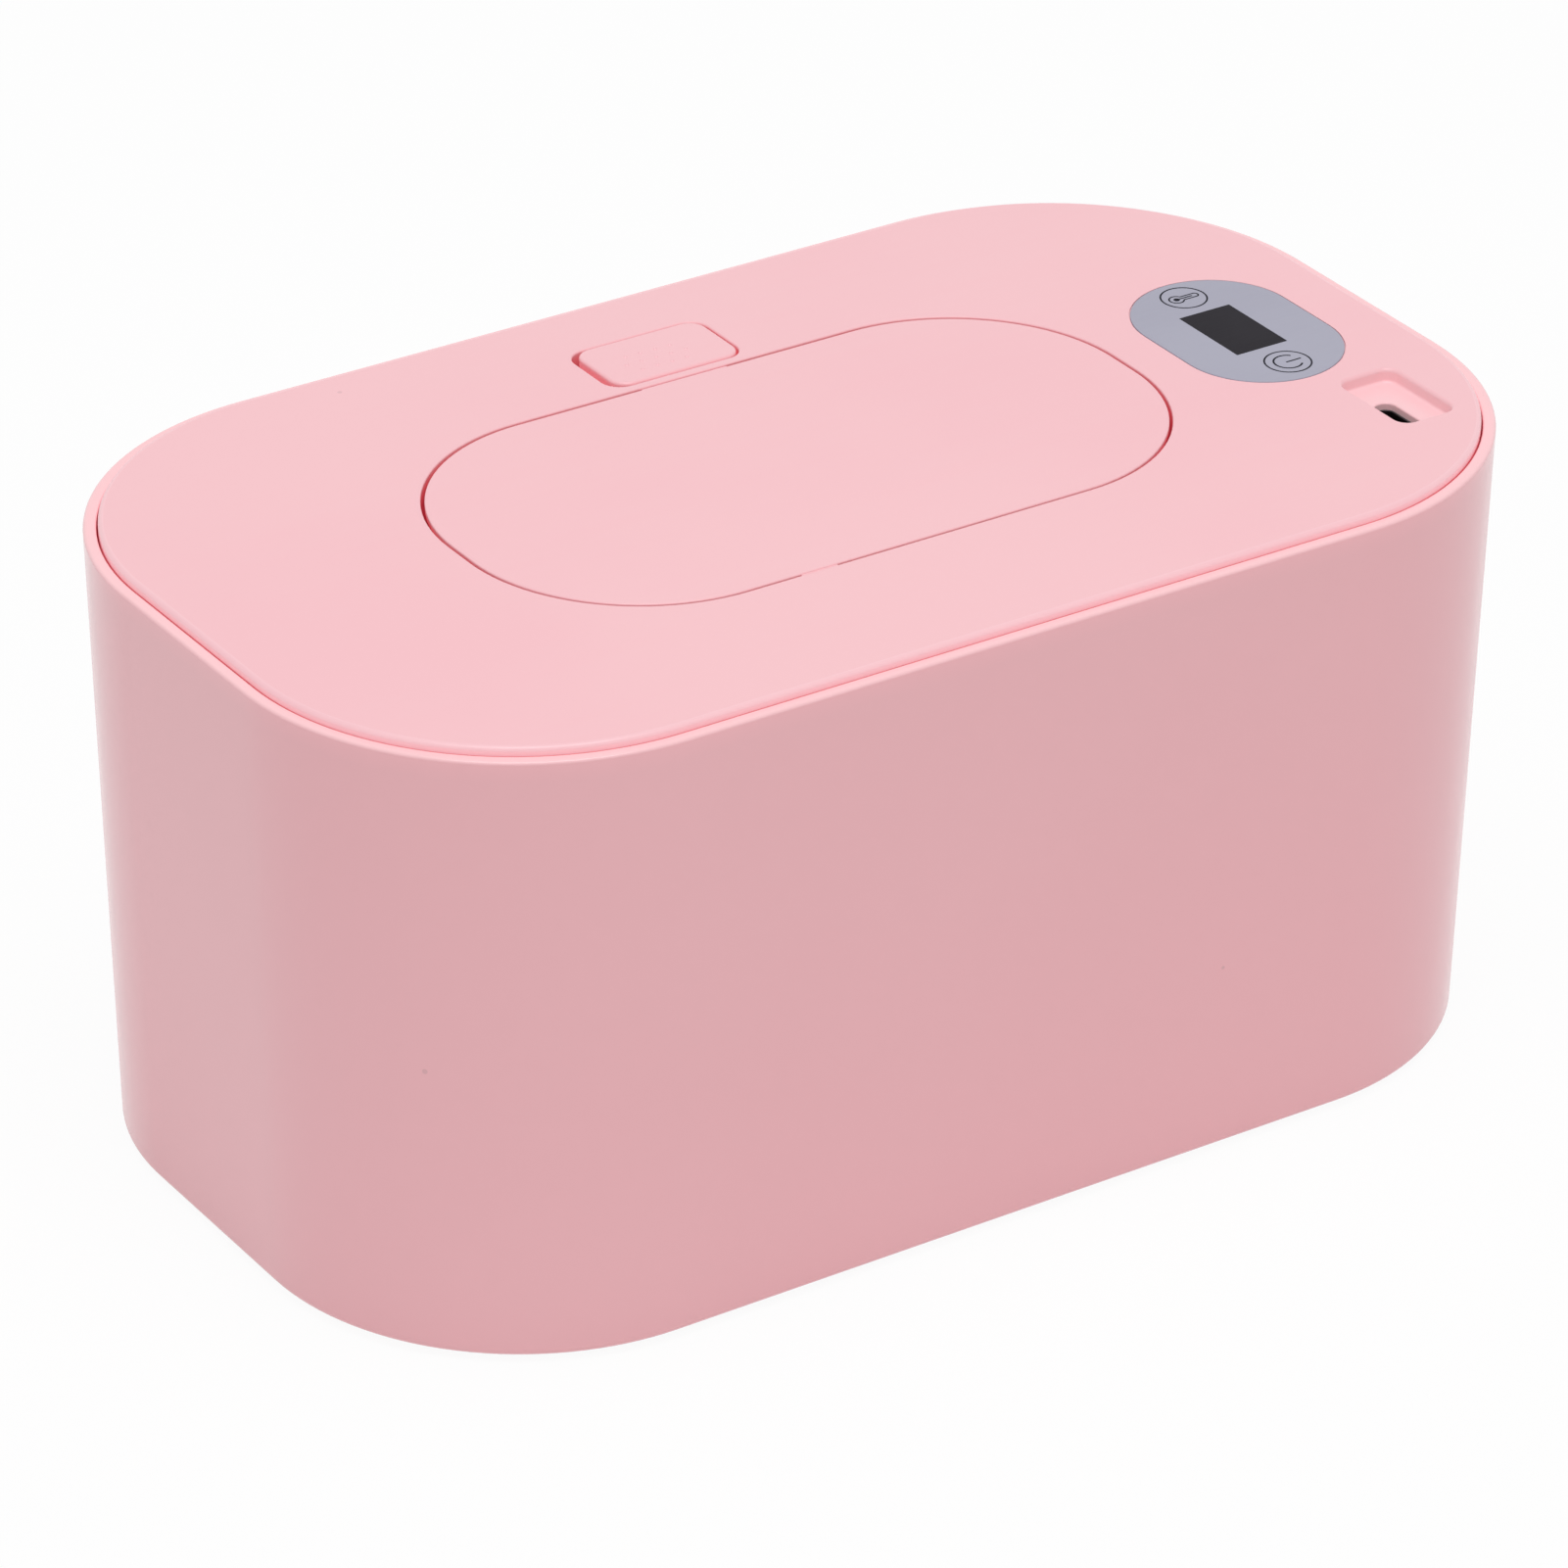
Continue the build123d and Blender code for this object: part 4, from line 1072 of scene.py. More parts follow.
@dataclass(frozen=True)
class TrackFilm(Finish):
    """Amber film with an etched heater track in it.

    Attributes:
        pitch: Track runs to the metre.
    """

    pitch: float = 30.0

    def surface(self, work: Wiring) -> Surface:
        """Shows the track darker through the film, and raises it a little.

        Args:
            work: Lays the material's nodes.

        Returns:
            What the shader takes.
        """
        track = TRACK.use(work, Scale=self.pitch)
        return {
            "Base Color": work.mix(track, self.tone(work), tint(*self.shade)),
            "Roughness": self.rub(work),
            "Normal": self.bump(work, track, 0.03),
            "Coat Weight": 0.6,
        }


@dataclass(frozen=True)
class BoardLaminate(Finish):
    """A circuit board: woven glass under a solder mask, with copper runs."""

    def surface(self, work: Wiring) -> Surface:
        """Lightens the mask over runs of copper, and lifts it by their thickness.

        Args:
            work: Lays the material's nodes.

        Returns:
            What the shader takes.
        """
        run = COPPER.use(work, Scale=260.0)
        return {
            "Base Color": work.mix(run, self.tone(work), tint(*self.shade)),
            "Roughness": self.rub(work),
            "Normal": self.bump(work, run, 0.035),
            "Coat Weight": 0.4,
        }


# ---------------------------------------------------------------- the warmer's own finishes

# The case's finish paints a glow up its wall towards the rim, and a painted highlight on the rim's
# top.
CASE_PLASTIC = MouldedPlastic(
    "case_gloss", (251, 192, 198), (250, 190, 196), (0.16, 0.22), 9.0, 0.0006, 1600.0,
    coat=0.1, specks=0.1, gloss=0.35, joint=(92.5, 95.6), glow=(52, 18, 22), painted_shade=0.0,
    painted_highlight_heights=(95.2, 95.6)
)
# The cover's finish paints shade and a glow into the gaps and faces below its deck.
COVER_PLASTIC = MouldedPlastic(
    "cover_satin", (250, 196, 202), (249, 193, 200), (0.30, 0.38), 12.0, 0.0016, 2600.0,
    joint=(96.75, 95.9)
)
# A lit copy of the cover's finish for the deck's rounded edge: paler colour and a glow, as painted
# light.
COVER_EDGE_LIT = replace(
    COVER_PLASTIC, name="cover_edge_painted_light", colour=(252, 202, 208), shade=(251, 199, 206),
    glow=(122, 100, 104), painted_shade=0.0, joint=(96.75, 96.0)
)
# A copy of the cover's finish for the lid, with painted glow and painted shade lower down its
# edge, in the gap.
LID_GAP_GLOW = replace(COVER_PLASTIC, name="lid_satin_painted_glow", glow=(112, 22, 30), joint=(96.5, 95.8))
# A copy of the cover's finish for the button, with a painted glow and a little painted shade on
# the cap's sides.
BUTTON_SIDE_LIT = replace(
    COVER_PLASTIC, name="button_satin_painted_light", glow=(104, 66, 70), painted_shade=0.05, joint=(97.0, 96.3)
)
# A copy of the cover's finish for the recesses and the fittings under the deck, with a painted
# glow and no painted shade.
RECESS_LIT = replace(
    COVER_PLASTIC, name="recess_satin_painted_light", glow=(54, 70, 68), painted_shade=0.0, joint=(96.8, 96.2)
)
UNDER_PLASTIC = MouldedPlastic(
    "under_satin", (246, 193, 197), (243, 188, 193), (0.42, 0.52), 14.0, 0.002, 2200.0, specks=0.05
)
TANK_PLASTIC = MouldedPlastic(
    "tank_milky", (240, 240, 236), (234, 235, 232), (0.30, 0.40), 15.0, 0.0015, 2000.0,
    specks=0.04, depth=0.2
)
LATCH_PLASTIC = MouldedPlastic(
    "latch_acetal", (236, 234, 228), (228, 226, 220), (0.32, 0.42), 60.0, 0.001, 2500.0
)
BLACK_PLASTIC = MouldedPlastic(
    "moulded_black", (34, 34, 37), (26, 26, 29), (0.42, 0.55), 120.0, 0.003, 4000.0
)
DISPLAY_PLASTIC = MouldedPlastic(
    "display_gloss_black", (22, 22, 26), (30, 30, 34), (0.25, 0.35), 90.0, 0.001, 4000.0, coat=0.3
)
WINDOW_PLASTIC = MouldedPlastic(
    "smoked_window", (32, 28, 36), (29, 25, 33), (0.3, 0.36), 60.0, 0.0004, 1500.0,
    specks=0.0, gloss=0.05
)
OVERLAY_FILM = MouldedPlastic(
    "overlay_silver_film", (163, 162, 180), (160, 159, 177), (0.30, 0.38), 50.0, 0.0012, 3200.0,
    coat=0.15, specks=0.0
)
INK = MouldedPlastic(
    "printed_ink", (16, 16, 28), (12, 12, 22), (0.45, 0.6), 300.0, 0.001, 6000.0, gloss=0.05
)
EPOXY = MouldedPlastic(
    "dipped_epoxy", (28, 30, 40), (22, 24, 32), (0.2, 0.3), 200.0, 0.004, 1500.0, coat=0.5
)
CERAMIC = MouldedPlastic(
    "glazed_ceramic", (226, 222, 210), (214, 208, 194), (0.3, 0.5), 180.0, 0.004, 2500.0, coat=0.2
)
FOOT_RUBBER = SoftRubber("foot_matt_rubber", (70, 68, 70), (60, 58, 61), (0.7, 0.85), 120.0, 0.25)
SEAL_SILICONE = SoftRubber(
    "seal_silicone", (232, 226, 224), (224, 217, 216), (0.45, 0.6), 60.0, 0.4
)
RED_JACKET = SoftRubber("red_jacket", (176, 36, 34), (160, 30, 30), (0.4, 0.5), 150.0, 0.1)
WHITE_JACKET = SoftRubber("white_jacket", (232, 230, 224), (222, 220, 212), (0.4, 0.5), 150.0, 0.1)
CASE_FOAM = CellFoam("case_foam", (214, 216, 220), (232, 234, 236), (0.8, 0.95), 40.0, 1100.0)
TOUCH_FOAM = CellFoam("dark_foam", (52, 52, 56), (74, 74, 78), (0.8, 0.95), 200.0, 2600.0)
SPRING_STEEL = BareMetal("drawn_steel", (178, 180, 184), (160, 163, 168), (0.2, 0.34), 200.0)
SOCKET_STEEL = BareMetal("socket_nickel", (78, 72, 74), (66, 62, 64), (0.35, 0.5), 200.0)
SCREW_STEEL = BareMetal("screw_zinc", (196, 198, 204), (176, 180, 188), (0.24, 0.38), 260.0)
CONTACT_GOLD = BareMetal("contact_gold", (222, 184, 98), (206, 166, 84), (0.2, 0.3), 400.0)
HEATER_ALUMINIUM = BareMetal(
    "rolled_aluminium", (206, 208, 210), (192, 194, 198), (0.3, 0.5), 25.0, 0.006, 1800.0
)
HEATING_FILM = TrackFilm("etched_heating_film", (204, 128, 44), (122, 70, 34), (0.2, 0.3), 40.0)
BOARD = BoardLaminate("masked_laminate", (20, 88, 52), (48, 124, 74), (0.3, 0.4), 120.0)


# ---------------------------------------------------------------- shared plan and levels


@dataclass(frozen=True)
class Levels:
    """Heights that neighbouring pieces share, from the ground up.

    Attributes:
        case_bottom: Underside of the case.
        case_floor: Upper face of its floor.
        tank_bottom: Underside of the tank.
        tank_floor: Upper face of its floor.
        plate_bottom: Underside of the heater plate.
        flange_bottom: Underside of the tank's flange.
        film_bottom: Underside of the heating film.
        flange_top: Upper face of the tank's flange.
        cover_bottom: Underside of the cover's floor.
        cover_floor: Upper face of that floor.
        board_bottom: Underside of the control board.
        board_top: Upper face of the board.
        collar_top: Upper end of the mouth's collar.
        frame_bottom: Underside of the lid's frame.
        deck_bottom: Underside of the deck.
        lid_bottom: Underside of the lid.
        rim_top: Upper face of the case's rim.
        deck_top: Upper face of the deck and of the lid.
    """

    case_bottom: float = 1.0
    case_floor: float = 3.4
    tank_bottom: float = 5.4
    tank_floor: float = 7.2
    plate_bottom: float = 79.0
    flange_bottom: float = 79.3
    film_bottom: float = 80.0
    flange_top: float = 81.3
    cover_bottom: float = 82.3
    cover_floor: float = 84.3
    board_bottom: float = 85.6
    board_top: float = 87.2
    collar_top: float = 91.0
    frame_bottom: float = 93.0
    deck_bottom: float = 94.6
    lid_bottom: float = 94.8
    rim_top: float = 95.7
    deck_top: float = 96.8


LEVEL = Levels()
RIM = Outline(200.0, 119.8, 43.4, steps=32)
BOSS_PLACES = np.array(
    [[-87.5, 0.0], [-50.0, 47.4], [-50.0, -47.4], [28.0, 47.4], [78.45, 38.35], [61.97, -46.93]]
)
PLATE_SCREW_PLACES = np.array(
    [[80.0, 0.0], [-80.0, 0.0], [30.0, 39.9], [30.0, -39.9], [-30.0, 39.9], [-30.0, -39.9]]
)
POST_PLACES = np.array([[66.5, 26.0], [85.0, 26.0], [66.5, -34.0], [85.5, -19.8]])

# The lid turns about the pivot, in Y and Z, on a pin that runs through holes in the lugs and in
# the arms' eyes. The arms and the button's hooks are placed along X.
PIVOT = (-35.5, 92.6)
PIN_HOLE = 0.85
ARM_PLACE = 16.5
HOOK_PLACES = (-9.05, 10.55)


def standing(places: Array, level: float = 0.0) -> Array:
    """Places in plan, lifted to a level."""
    return np.column_stack([places, np.full(len(places), level)])


def dress(finishes: dict[str, Finish]) -> None:
    """Gives carried-over CAD nodes their finishes.

    Args:
        finishes: The finish of each node, by the node's name.
    """
    for node, finish in finishes.items():
        for slot in frame["nodes"][node].material_slots:
            slot.material = finish.material()
        log.info("%s: CAD node, finished as %s", node, finish.name)


# ---------------------------------------------------------------- sub-assemblies


@dataclass
class CaseBody:
    """The drafted outer case with its ribs, its feet and its insulation.

    Attributes:
        wall: Thickness of the case's wall.
        draft: How far the wall draws in from the rim to the base.
        rim_round: Radius of the rim's outer edge.
        rim_inner_round: Radius of the rim's inner edge.
        base_round: Radius of the base's edge.
        floor_round: Radius inside, between the wall and the floor.
        rib_thickness: Thickness of each rib that the tank's flange rests on.
        rib_depth: How far a rib stands out from the wall.
        rib_spacing: Distance between ribs on the long sides.
        end_rib_spacing: Distance between the two ribs at each end.
        foot_radius: Radius of a foot.
        foot_gap: Space round a foot in its recess.
        foot_top: Height of the foot recess's roof.
        foot_place: Place of the foot in the first corner.
        lap: How far a rib reaches into the wall and the floor.
        middles: How far in the flat underside and floor begin.
        foot_dimple: Distance in and rise of the dimple's two edges.
        foot_rounds: Radii along a foot's profile.
    """

    wall: float = 1.9
    draft: float = 2.4
    rim_round: float = 0.45
    rim_inner_round: float = 0.35
    base_round: float = 1.1
    floor_round: float = 1.5
    rib_thickness: float = 1.6
    rib_depth: float = 2.2
    rib_spacing: float = 25.0
    end_rib_spacing: float = 24.0
    foot_radius: float = 5.0
    foot_gap: float = 0.1
    foot_top: float = 1.8
    foot_place: tuple[float, float] = (74.63, 34.53)
    lap: float = 1.0
    middles: tuple[float, float] = (4.0, 12.0)
    foot_dimple: tuple[tuple[float, float], ...] = ((2.0, 0.35), (1.5, 0.0))
    foot_rounds: tuple[float, ...] = (0.3, 0.3, 0.5, 0.0)

    def lean(self, level: float) -> float:
        """How far the wall has drawn in at a level: the draft in proportion below the rim."""
        return self.draft * (LEVEL.rim_top - level) / (LEVEL.rim_top - LEVEL.case_bottom)

    def foot_places(self) -> Array:
        """The four feet's places: the first one's, mirrored both ways."""
        return np.array([[1, 1], [-1, 1], [-1, -1], [1, -1]]) * np.array(self.foot_place)

    def rib(self, edge: float, side: int) -> Array:
        """Outlines a rib from the case's floor to the tank's flange.

        Args:
            edge: The rim's distance from the middle on that side.
            side: 1 or -1.

        Returns:
            The outline across the wall and upwards.
        """
        foot = edge - self.lean(LEVEL.case_floor) - self.wall
        head = edge - self.lean(LEVEL.flange_bottom) - self.wall
        inner = [head - self.rib_depth, foot - self.rib_depth]
        across = np.array([foot + self.lap, head + self.lap, *inner])
        low, high = LEVEL.case_floor - self.lap, LEVEL.flange_bottom
        return np.column_stack([side * across, [low, high, high, low]])

    def shell(self) -> Shell:
        """Carries one profile round the rim's outline, and adds the foot recesses and ribs.

        Returns:
            The case.
        """
        under, inside = self.middles
        profile = bend(
            [
                (under, LEVEL.case_bottom),
                (self.draft, LEVEL.case_bottom),
                (0.0, LEVEL.rim_top),
                (self.wall, LEVEL.rim_top),
                (self.lean(LEVEL.case_floor) + self.wall, LEVEL.case_floor),
                (inside, LEVEL.case_floor),
            ],
            [self.base_round, self.rim_round, self.rim_inner_round, self.floor_round],
            8,
        )
        case = Shell().band(RIM, profile)
        recess = self.foot_radius + self.foot_gap
        holes = [circle(recess, tuple(place), 8).ring() for place in self.foot_places()]
        case.underside([RIM.ring(under), *holes], LEVEL.case_bottom)
        for hole in holes:
            case.shaft(hole, LEVEL.case_bottom, self.foot_top)
            case.underside([hole], self.foot_top)
        case.top([RIM.ring(inside)], LEVEL.case_floor)
        half = self.rib_thickness / 2
        along = self.rib_spacing * np.arange(-2, 3)
        across = self.end_rib_spacing * np.array([-0.5, 0.5])
        for side in (1, -1):
            for facing, edge, places in (
                (Facing.X, RIM.width / 2, along), (Facing.Y, RIM.length / 2, across)
            ):
                for place in places:
                    case.prism(facing, [self.rib(edge, side)], place - half, place + half)
        return case

    def feet(self) -> Shell:
        """Makes four round feet, with a soft edge and a shallow dimple under each.

        Returns:
            The feet.
        """
        radius, top = self.foot_radius, self.foot_top
        middle = (radius, self.foot_dimple[0][1])
        outside = [(0.0, 0.0), (0.0, top), (radius, top)]
        profile = bend([middle, *self.foot_dimple, *outside], self.foot_rounds)
        foot = Shell().band(circle(radius, steps=8), profile)
        return foot.repeated(standing(self.foot_places()))

    def build(self) -> None:
        """Makes and dresses the case's pieces."""
        self.shell().piece("case_body", [CASE_PLASTIC], Body.BASE, "case_plastic", ["outer_case"])
        self.feet().piece("case_feet", [FOOT_RUBBER], Body.BASE, "foot_rubber", ["feet"])
        dress({"insulation_sleeve": CASE_FOAM, "insulation_pad": CASE_FOAM})


@dataclass
class WipesTank:
    """The tank that holds the wipes and hangs in the case by its flange.

    Attributes:
        inset: How far the tank's mouth lies inside the rim.
        wall: Thickness of its wall.
        draft: How far its wall draws in down to the floor.
        flange_inset: How far the flange's edge lies inside the rim.
        floor_round: Radius between its wall and floor.
        mouth_round: Radius of the mouth's edge.
        middle: How far in its flat underside and floor begin.
        flange_rounds: Radii where the flange leaves the wall, and of its lower and upper edge.
    """

    inset: float = 12.0
    wall: float = 1.8
    draft: float = 3.0
    flange_inset: float = 3.22
    floor_round: float = 3.6
    mouth_round: float = 0.8
    middle: float = 30.0
    flange_rounds: tuple[float, float, float] = (0.6, 0.3, 0.4)

    def shell(self) -> Shell:
        """Carries a profile round the rim: up outside, over the flange and down inside.

        Returns:
            The tank.
        """
        middle = self.middle
        outer = self.inset - self.wall
        lean = self.draft / (LEVEL.flange_top - LEVEL.tank_bottom)
        profile = bend(
            [
                (middle, LEVEL.tank_bottom),
                (outer + self.draft, LEVEL.tank_bottom),
                (outer + lean * (LEVEL.flange_top - LEVEL.flange_bottom), LEVEL.flange_bottom),
                (self.flange_inset, LEVEL.flange_bottom),
                (self.flange_inset, LEVEL.flange_top),
                (self.inset, LEVEL.flange_top),
                (self.inset + lean * (LEVEL.flange_top - LEVEL.tank_floor), LEVEL.tank_floor),
                (middle, LEVEL.tank_floor),
            ],
            [self.floor_round, *self.flange_rounds, self.mouth_round, self.floor_round],
        )
        tank = Shell().band(RIM, profile)
        tank.underside([RIM.ring(middle)], LEVEL.tank_bottom)
        return tank.top([RIM.ring(middle)], LEVEL.tank_floor)

    def build(self) -> None:
        """Makes and dresses the tank."""
        self.shell().piece("wipes_tank", [TANK_PLASTIC], Body.BASE, "tank_plastic", ["inner_tank"])


@dataclass
class CoverShell:
    """The cover's moulding.

    It has the deck and its skirt, the lid's well, the button's pocket, the USB recess, the panel's
    recess, and the lugs, posts and bosses under the deck.

    Attributes:
        deck_inset: How far the deck's edge lies inside the rim.
        deck_round: Radius of the deck's edge.
        edge_drop: How far below the rim the edge that shows begins.
        skirt_insets: Where the skirt's outer and inner faces lie inside the rim.
        well: Outline of the well that the lid closes.
        well_round: Radius of the well's edge.
        well_wall: Thickness of the well's wall.
        pocket: Outline of the button's pocket.
        pocket_floor: Height of the pocket's floor.
        pocket_base: Height of the floor's underside.
        pocket_round: Radius of the pocket's edge.
        pocket_wall: Thickness of the pocket's wall.
        floor_inset: How far in the pocket's flat floor begins.
        window: Width and levels of the window that the latch's nose comes through.
        under_deck: How far below the deck's underside an opening behind it ends.
        slot_width: Width of the slots for the lid's arms.
        slot_sill: Height of those slots' lower ends above the cover's floor.
        arm_place: Place of the arms along X.
        panel: Outline of the control panel's recess.
        panel_depth: Depth of that recess.
        display_window: Outline of the hole for the display.
        recess: Outline of the USB recess.
        recess_floor: Height of its floor.
        recess_round: Radius of its edge.
        recess_sweep: Radius between its wall and floor.
        recess_flat: How far in its flat floor begins.
        housing: Thickness of the recess's wall below the deck.
        slot: Outline of the slot over the socket.
        slot_round: Radius of the slot's edge.
        slot_flat: Width of the flat round the slot's lower end.
        slot_bottom: Height of the underside of the recess's floor.
        hook_hole: Size of the holes for the button's hooks.
        hook_places: Places of those holes along X.
        pivot: The hinge pin's axis in Y and Z.
        pin_hole: Radius of the holes that the pin runs through.
        lug_radius: Radius of a lug round the pin.
        lug_thickness: Thickness of a lug.
        lug_starts: Where each lug begins along X.
        rail: Place, thickness and height of the rails that guide the latch.
        bury: How far the lugs and the fin reach up into the deck.
        spring_stop: Place and lower end of the fin that the hinge's spring leans on.
        stop_size: Size of that fin.
        post_radius: Radius of the posts that the board is screwed to.
        boss_radius: Radius of the bosses that the cover's floor is screwed to.
        pilot_radius: Radius of the screw holes in both.
        pilot_depths: Depth of the holes in the posts, and in the bosses.
        skirt_rounds: Radii along the skirt's profile.
        pocket_sweep: Radius between the pocket's wall and floor.
        rail_lap: How far the rails reach down into the pocket's floor.
        tube_rounds: Radii along the profile of a post or a boss.
    """

    deck_inset: float = 2.14
    deck_round: float = 0.65
    edge_drop: float = 0.2
    skirt_insets: tuple[float, float] = (3.3, 5.1)
    well: Outline = Outline(112.5, 61.1, 27.7, (0.25, 0.0), 24)
    well_round: float = 0.28
    well_wall: float = 0.7
    pocket: Outline = Outline(22.85, 13.4, 3.0, (0.575, 38.85), 8)
    pocket_floor: float = 90.2
    pocket_base: float = 89.0
    pocket_round: float = 0.35
    pocket_wall: float = 0.6
    floor_inset: float = 0.35
    window: tuple[float, float, float] = (14.9, 92.2, 94.6)
    under_deck: float = 0.01
    slot_width: float = 6.6
    slot_sill: float = 0.3
    arm_place: float = ARM_PLACE
    panel: Outline = Outline(25.1, 36.2, 12.55, (76.32, -0.1), 20)
    panel_depth: float = 0.3
    display_window: Outline = Outline(9.0, 14.8, 0.3, (76.4, 0.0), 2)
    recess: Outline = Outline(9.6, 15.9, 2.0, (83.2, -29.65), 8)
    recess_floor: float = 94.7
    recess_round: float = 0.6
    recess_sweep: float = 0.45
    recess_flat: float = 1.0
    housing: float = 0.5
    slot: Outline = Outline(3.44, 9.22, 1.67, (82.0, -31.8), 8)
    slot_round: float = 0.3
    slot_flat: float = 0.3
    slot_bottom: float = 93.1
    hook_hole: tuple[float, float] = (1.7, 3.5)
    hook_places: tuple[float, float] = HOOK_PLACES
    pivot: tuple[float, float] = PIVOT
    pin_hole: float = PIN_HOLE
    lug_radius: float = 2.4
    lug_thickness: float = 1.6
    lug_starts: tuple[float, ...] = (11.6, 19.8, -13.2, -21.4)
    rail: tuple[float, float, float] = (7.95, 0.8, 1.3)
    bury: float = 0.3
    spring_stop: tuple[float, float, float] = (2.709, -41.5, 91.5)
    stop_size: tuple[float, float] = (3.0, 1.5)
    post_radius: float = 2.5
    boss_radius: float = 3.0
    pilot_radius: float = 1.22
    pilot_depths: tuple[float, float] = (6.0, 9.0)
    skirt_rounds: tuple[float, float, float, float] = (0.2, 0.3, 0.3, 0.2)
    pocket_sweep: float = 0.2
    rail_lap: float = 0.2
    tube_rounds: tuple[float, float, float, float] = (0.0, 0.15, 0.2, 0.0)

    def deck(self, shell: Shell) -> None:
        """Carries the deck's edge and skirt round the rim, and fills its two faces.

        Args:
            shell: The shell that takes them.
        """
        out, into = self.skirt_insets
        shown = LEVEL.rim_top - self.edge_drop
        skirt = bend(
            [
                (into + 2 * FLAT, LEVEL.deck_bottom),
                (into, LEVEL.cover_bottom),
                (out, LEVEL.cover_bottom),
                (out, LEVEL.deck_bottom),
                (self.deck_inset, LEVEL.deck_bottom),
                (self.deck_inset, shown),
            ],
            self.skirt_rounds,
        )
        flat = self.deck_inset + self.deck_round + 2 * FLAT
        edge = bend(
            [(self.deck_inset, shown), (self.deck_inset, LEVEL.deck_top), (flat, LEVEL.deck_top)],
            [self.deck_round],
            8,
        )
        shell.band(RIM, skirt)
        # The rounded edge takes the second finish: painted light on the deck's edge and on the
        # side below it.
        shell.kind = 1
        shell.band(RIM, edge)
        shell.kind = 0
        top = [
            RIM.ring(flat),
            self.well.ring(lip(self.well_round)),
            self.pocket.ring(lip(self.pocket_round)),
            self.recess.ring(lip(self.recess_round)),
            self.panel.ring(),
        ]
        under = [
            RIM.ring(into + 2 * FLAT),
            self.well.ring(-self.well_wall),
            self.pocket.ring(-self.pocket_wall),
            self.recess.ring(-self.housing),
            self.display_window.ring(),
        ]
        shell.top(top, LEVEL.deck_top).underside(under, LEVEL.deck_bottom)

    def straight(
        self, outline: Outline, low: float, high: float, front: float = math.inf
    ) -> Callable[[Array], Array]:
        """Picks the upright faces of an outline's runs along X, which get openings instead.

        Args:
            outline: The outline.
            low: Height that the faces' middles lie above.
            high: Height that they lie below.
            front: Place along Y that they lie before.

        Returns:
            What band takes, to leave faces out.
        """
        half = outline.length / 2 - outline.corner - abs(outline.centre[0]) - NEAR

        def picked(middles: Array) -> Array:
            """Whether each middle is on such a run."""
            x, y, z = middles.T
            return (np.abs(x) < half) & (y < front) & (z > low) & (z < high)

        return picked

    def pierced(
        self,
        shell: Shell,
        outline: Outline,
        inset: float,
        side: int,
        levels: tuple[float, float],
        holes: Sequence[Array],
    ) -> None:
        """Fills an outline's straight run, as a flat wall along X with holes in it.

        Args:
            shell: The shell that takes it.
            outline: The outline whose run it is.
            inset: The run's offset from the outline: 0 faces into it, and less than 0 out of it.
            side: 1 for the run at the highest Y, and -1 for the other.
            levels: The wall's lowest and highest level.
            holes: The holes' corners, in X and Z.
        """
        half = outline.length / 2 - outline.corner
        middle = (outline.centre[0], sum(levels) / 2)
        wall = block(2 * half, levels[1] - levels[0], middle)
        place = outline.centre[1] + side * (outline.width / 2 - inset)
        shell.plate(Facing.Y, [wall, *holes], place, ahead=(side > 0) == (inset < 0))

    def well_walls(self, shell: Shell) -> None:
        """Makes the well's wall, with the arms' slots behind and the latch's window in front.

        Args:
            shell: The shell that takes it.
        """
        foot, deck = LEVEL.cover_floor, LEVEL.deck_bottom
        profile = bend(
            [
                (lip(self.well_round), LEVEL.deck_top),
                (0.0, LEVEL.deck_top),
                (0.0, foot),
                (-self.well_wall, foot),
                (-self.well_wall, deck),
            ],
            [self.well_round, 0.0, 0.0],
        )
        inner_top = LEVEL.deck_top - self.well_round
        shell.band(self.well, profile, self.straight(self.well, foot + NEAR, inner_top))
        width, low, high = self.window
        window = block(width, high - low, (0.0, (low + high) / 2))
        sill, head = foot + self.slot_sill, deck - self.under_deck
        slots = [
            block(self.slot_width, head - sill, (side * self.arm_place, (sill + head) / 2))
            for side in (1, -1)
        ]
        near = self.well.width / 2
        for side, holes in ((1, [window]), (-1, slots)):
            self.pierced(shell, self.well, 0.0, side, (foot, inner_top), holes)
            lower = [np.minimum(hole, [np.inf, head]) for hole in holes]
            self.pierced(shell, self.well, -self.well_wall, side, (foot, deck), lower)
            faces = sorted([side * near, side * (near + self.well_wall)])
            for hole in holes:
                shell.walls(Facing.Y, hole, *faces, hole=True)

    def pocket_walls(self, shell: Shell) -> None:
        """Makes the button's pocket, with the latch's window in front and rails on its floor.

        Args:
            shell: The shell that takes it.
        """
        pocket, base, deck = self.pocket, self.pocket_base, LEVEL.deck_bottom
        front = pocket.centre[1] - pocket.width / 2
        rounds = (self.pocket_round, self.pocket_sweep)
        foot, top = self.pocket_floor + self.pocket_sweep, LEVEL.deck_top - self.pocket_round
        inner = opening_edge(LEVEL.deck_top, self.pocket_floor, self.floor_inset, rounds)
        shell.band(pocket, inner, self.straight(pocket, foot, top, front + NEAR))
        outer = bend(
            [(self.floor_inset, base), (-self.pocket_wall, base), (-self.pocket_wall, deck)], [0.0]
        )
        shell.band(pocket, outer, self.straight(pocket, base + NEAR, math.inf, front))
        width, low, high = self.window
        high -= self.under_deck
        window = block(width, high - low, (0.0, (low + high) / 2))
        self.pierced(shell, pocket, 0.0, -1, (foot, top), [window])
        self.pierced(shell, pocket, -self.pocket_wall, -1, (base, deck), [window])
        shell.walls(Facing.Y, window, front - self.pocket_wall, front, hole=True)
        self.pocket_bottom(shell)

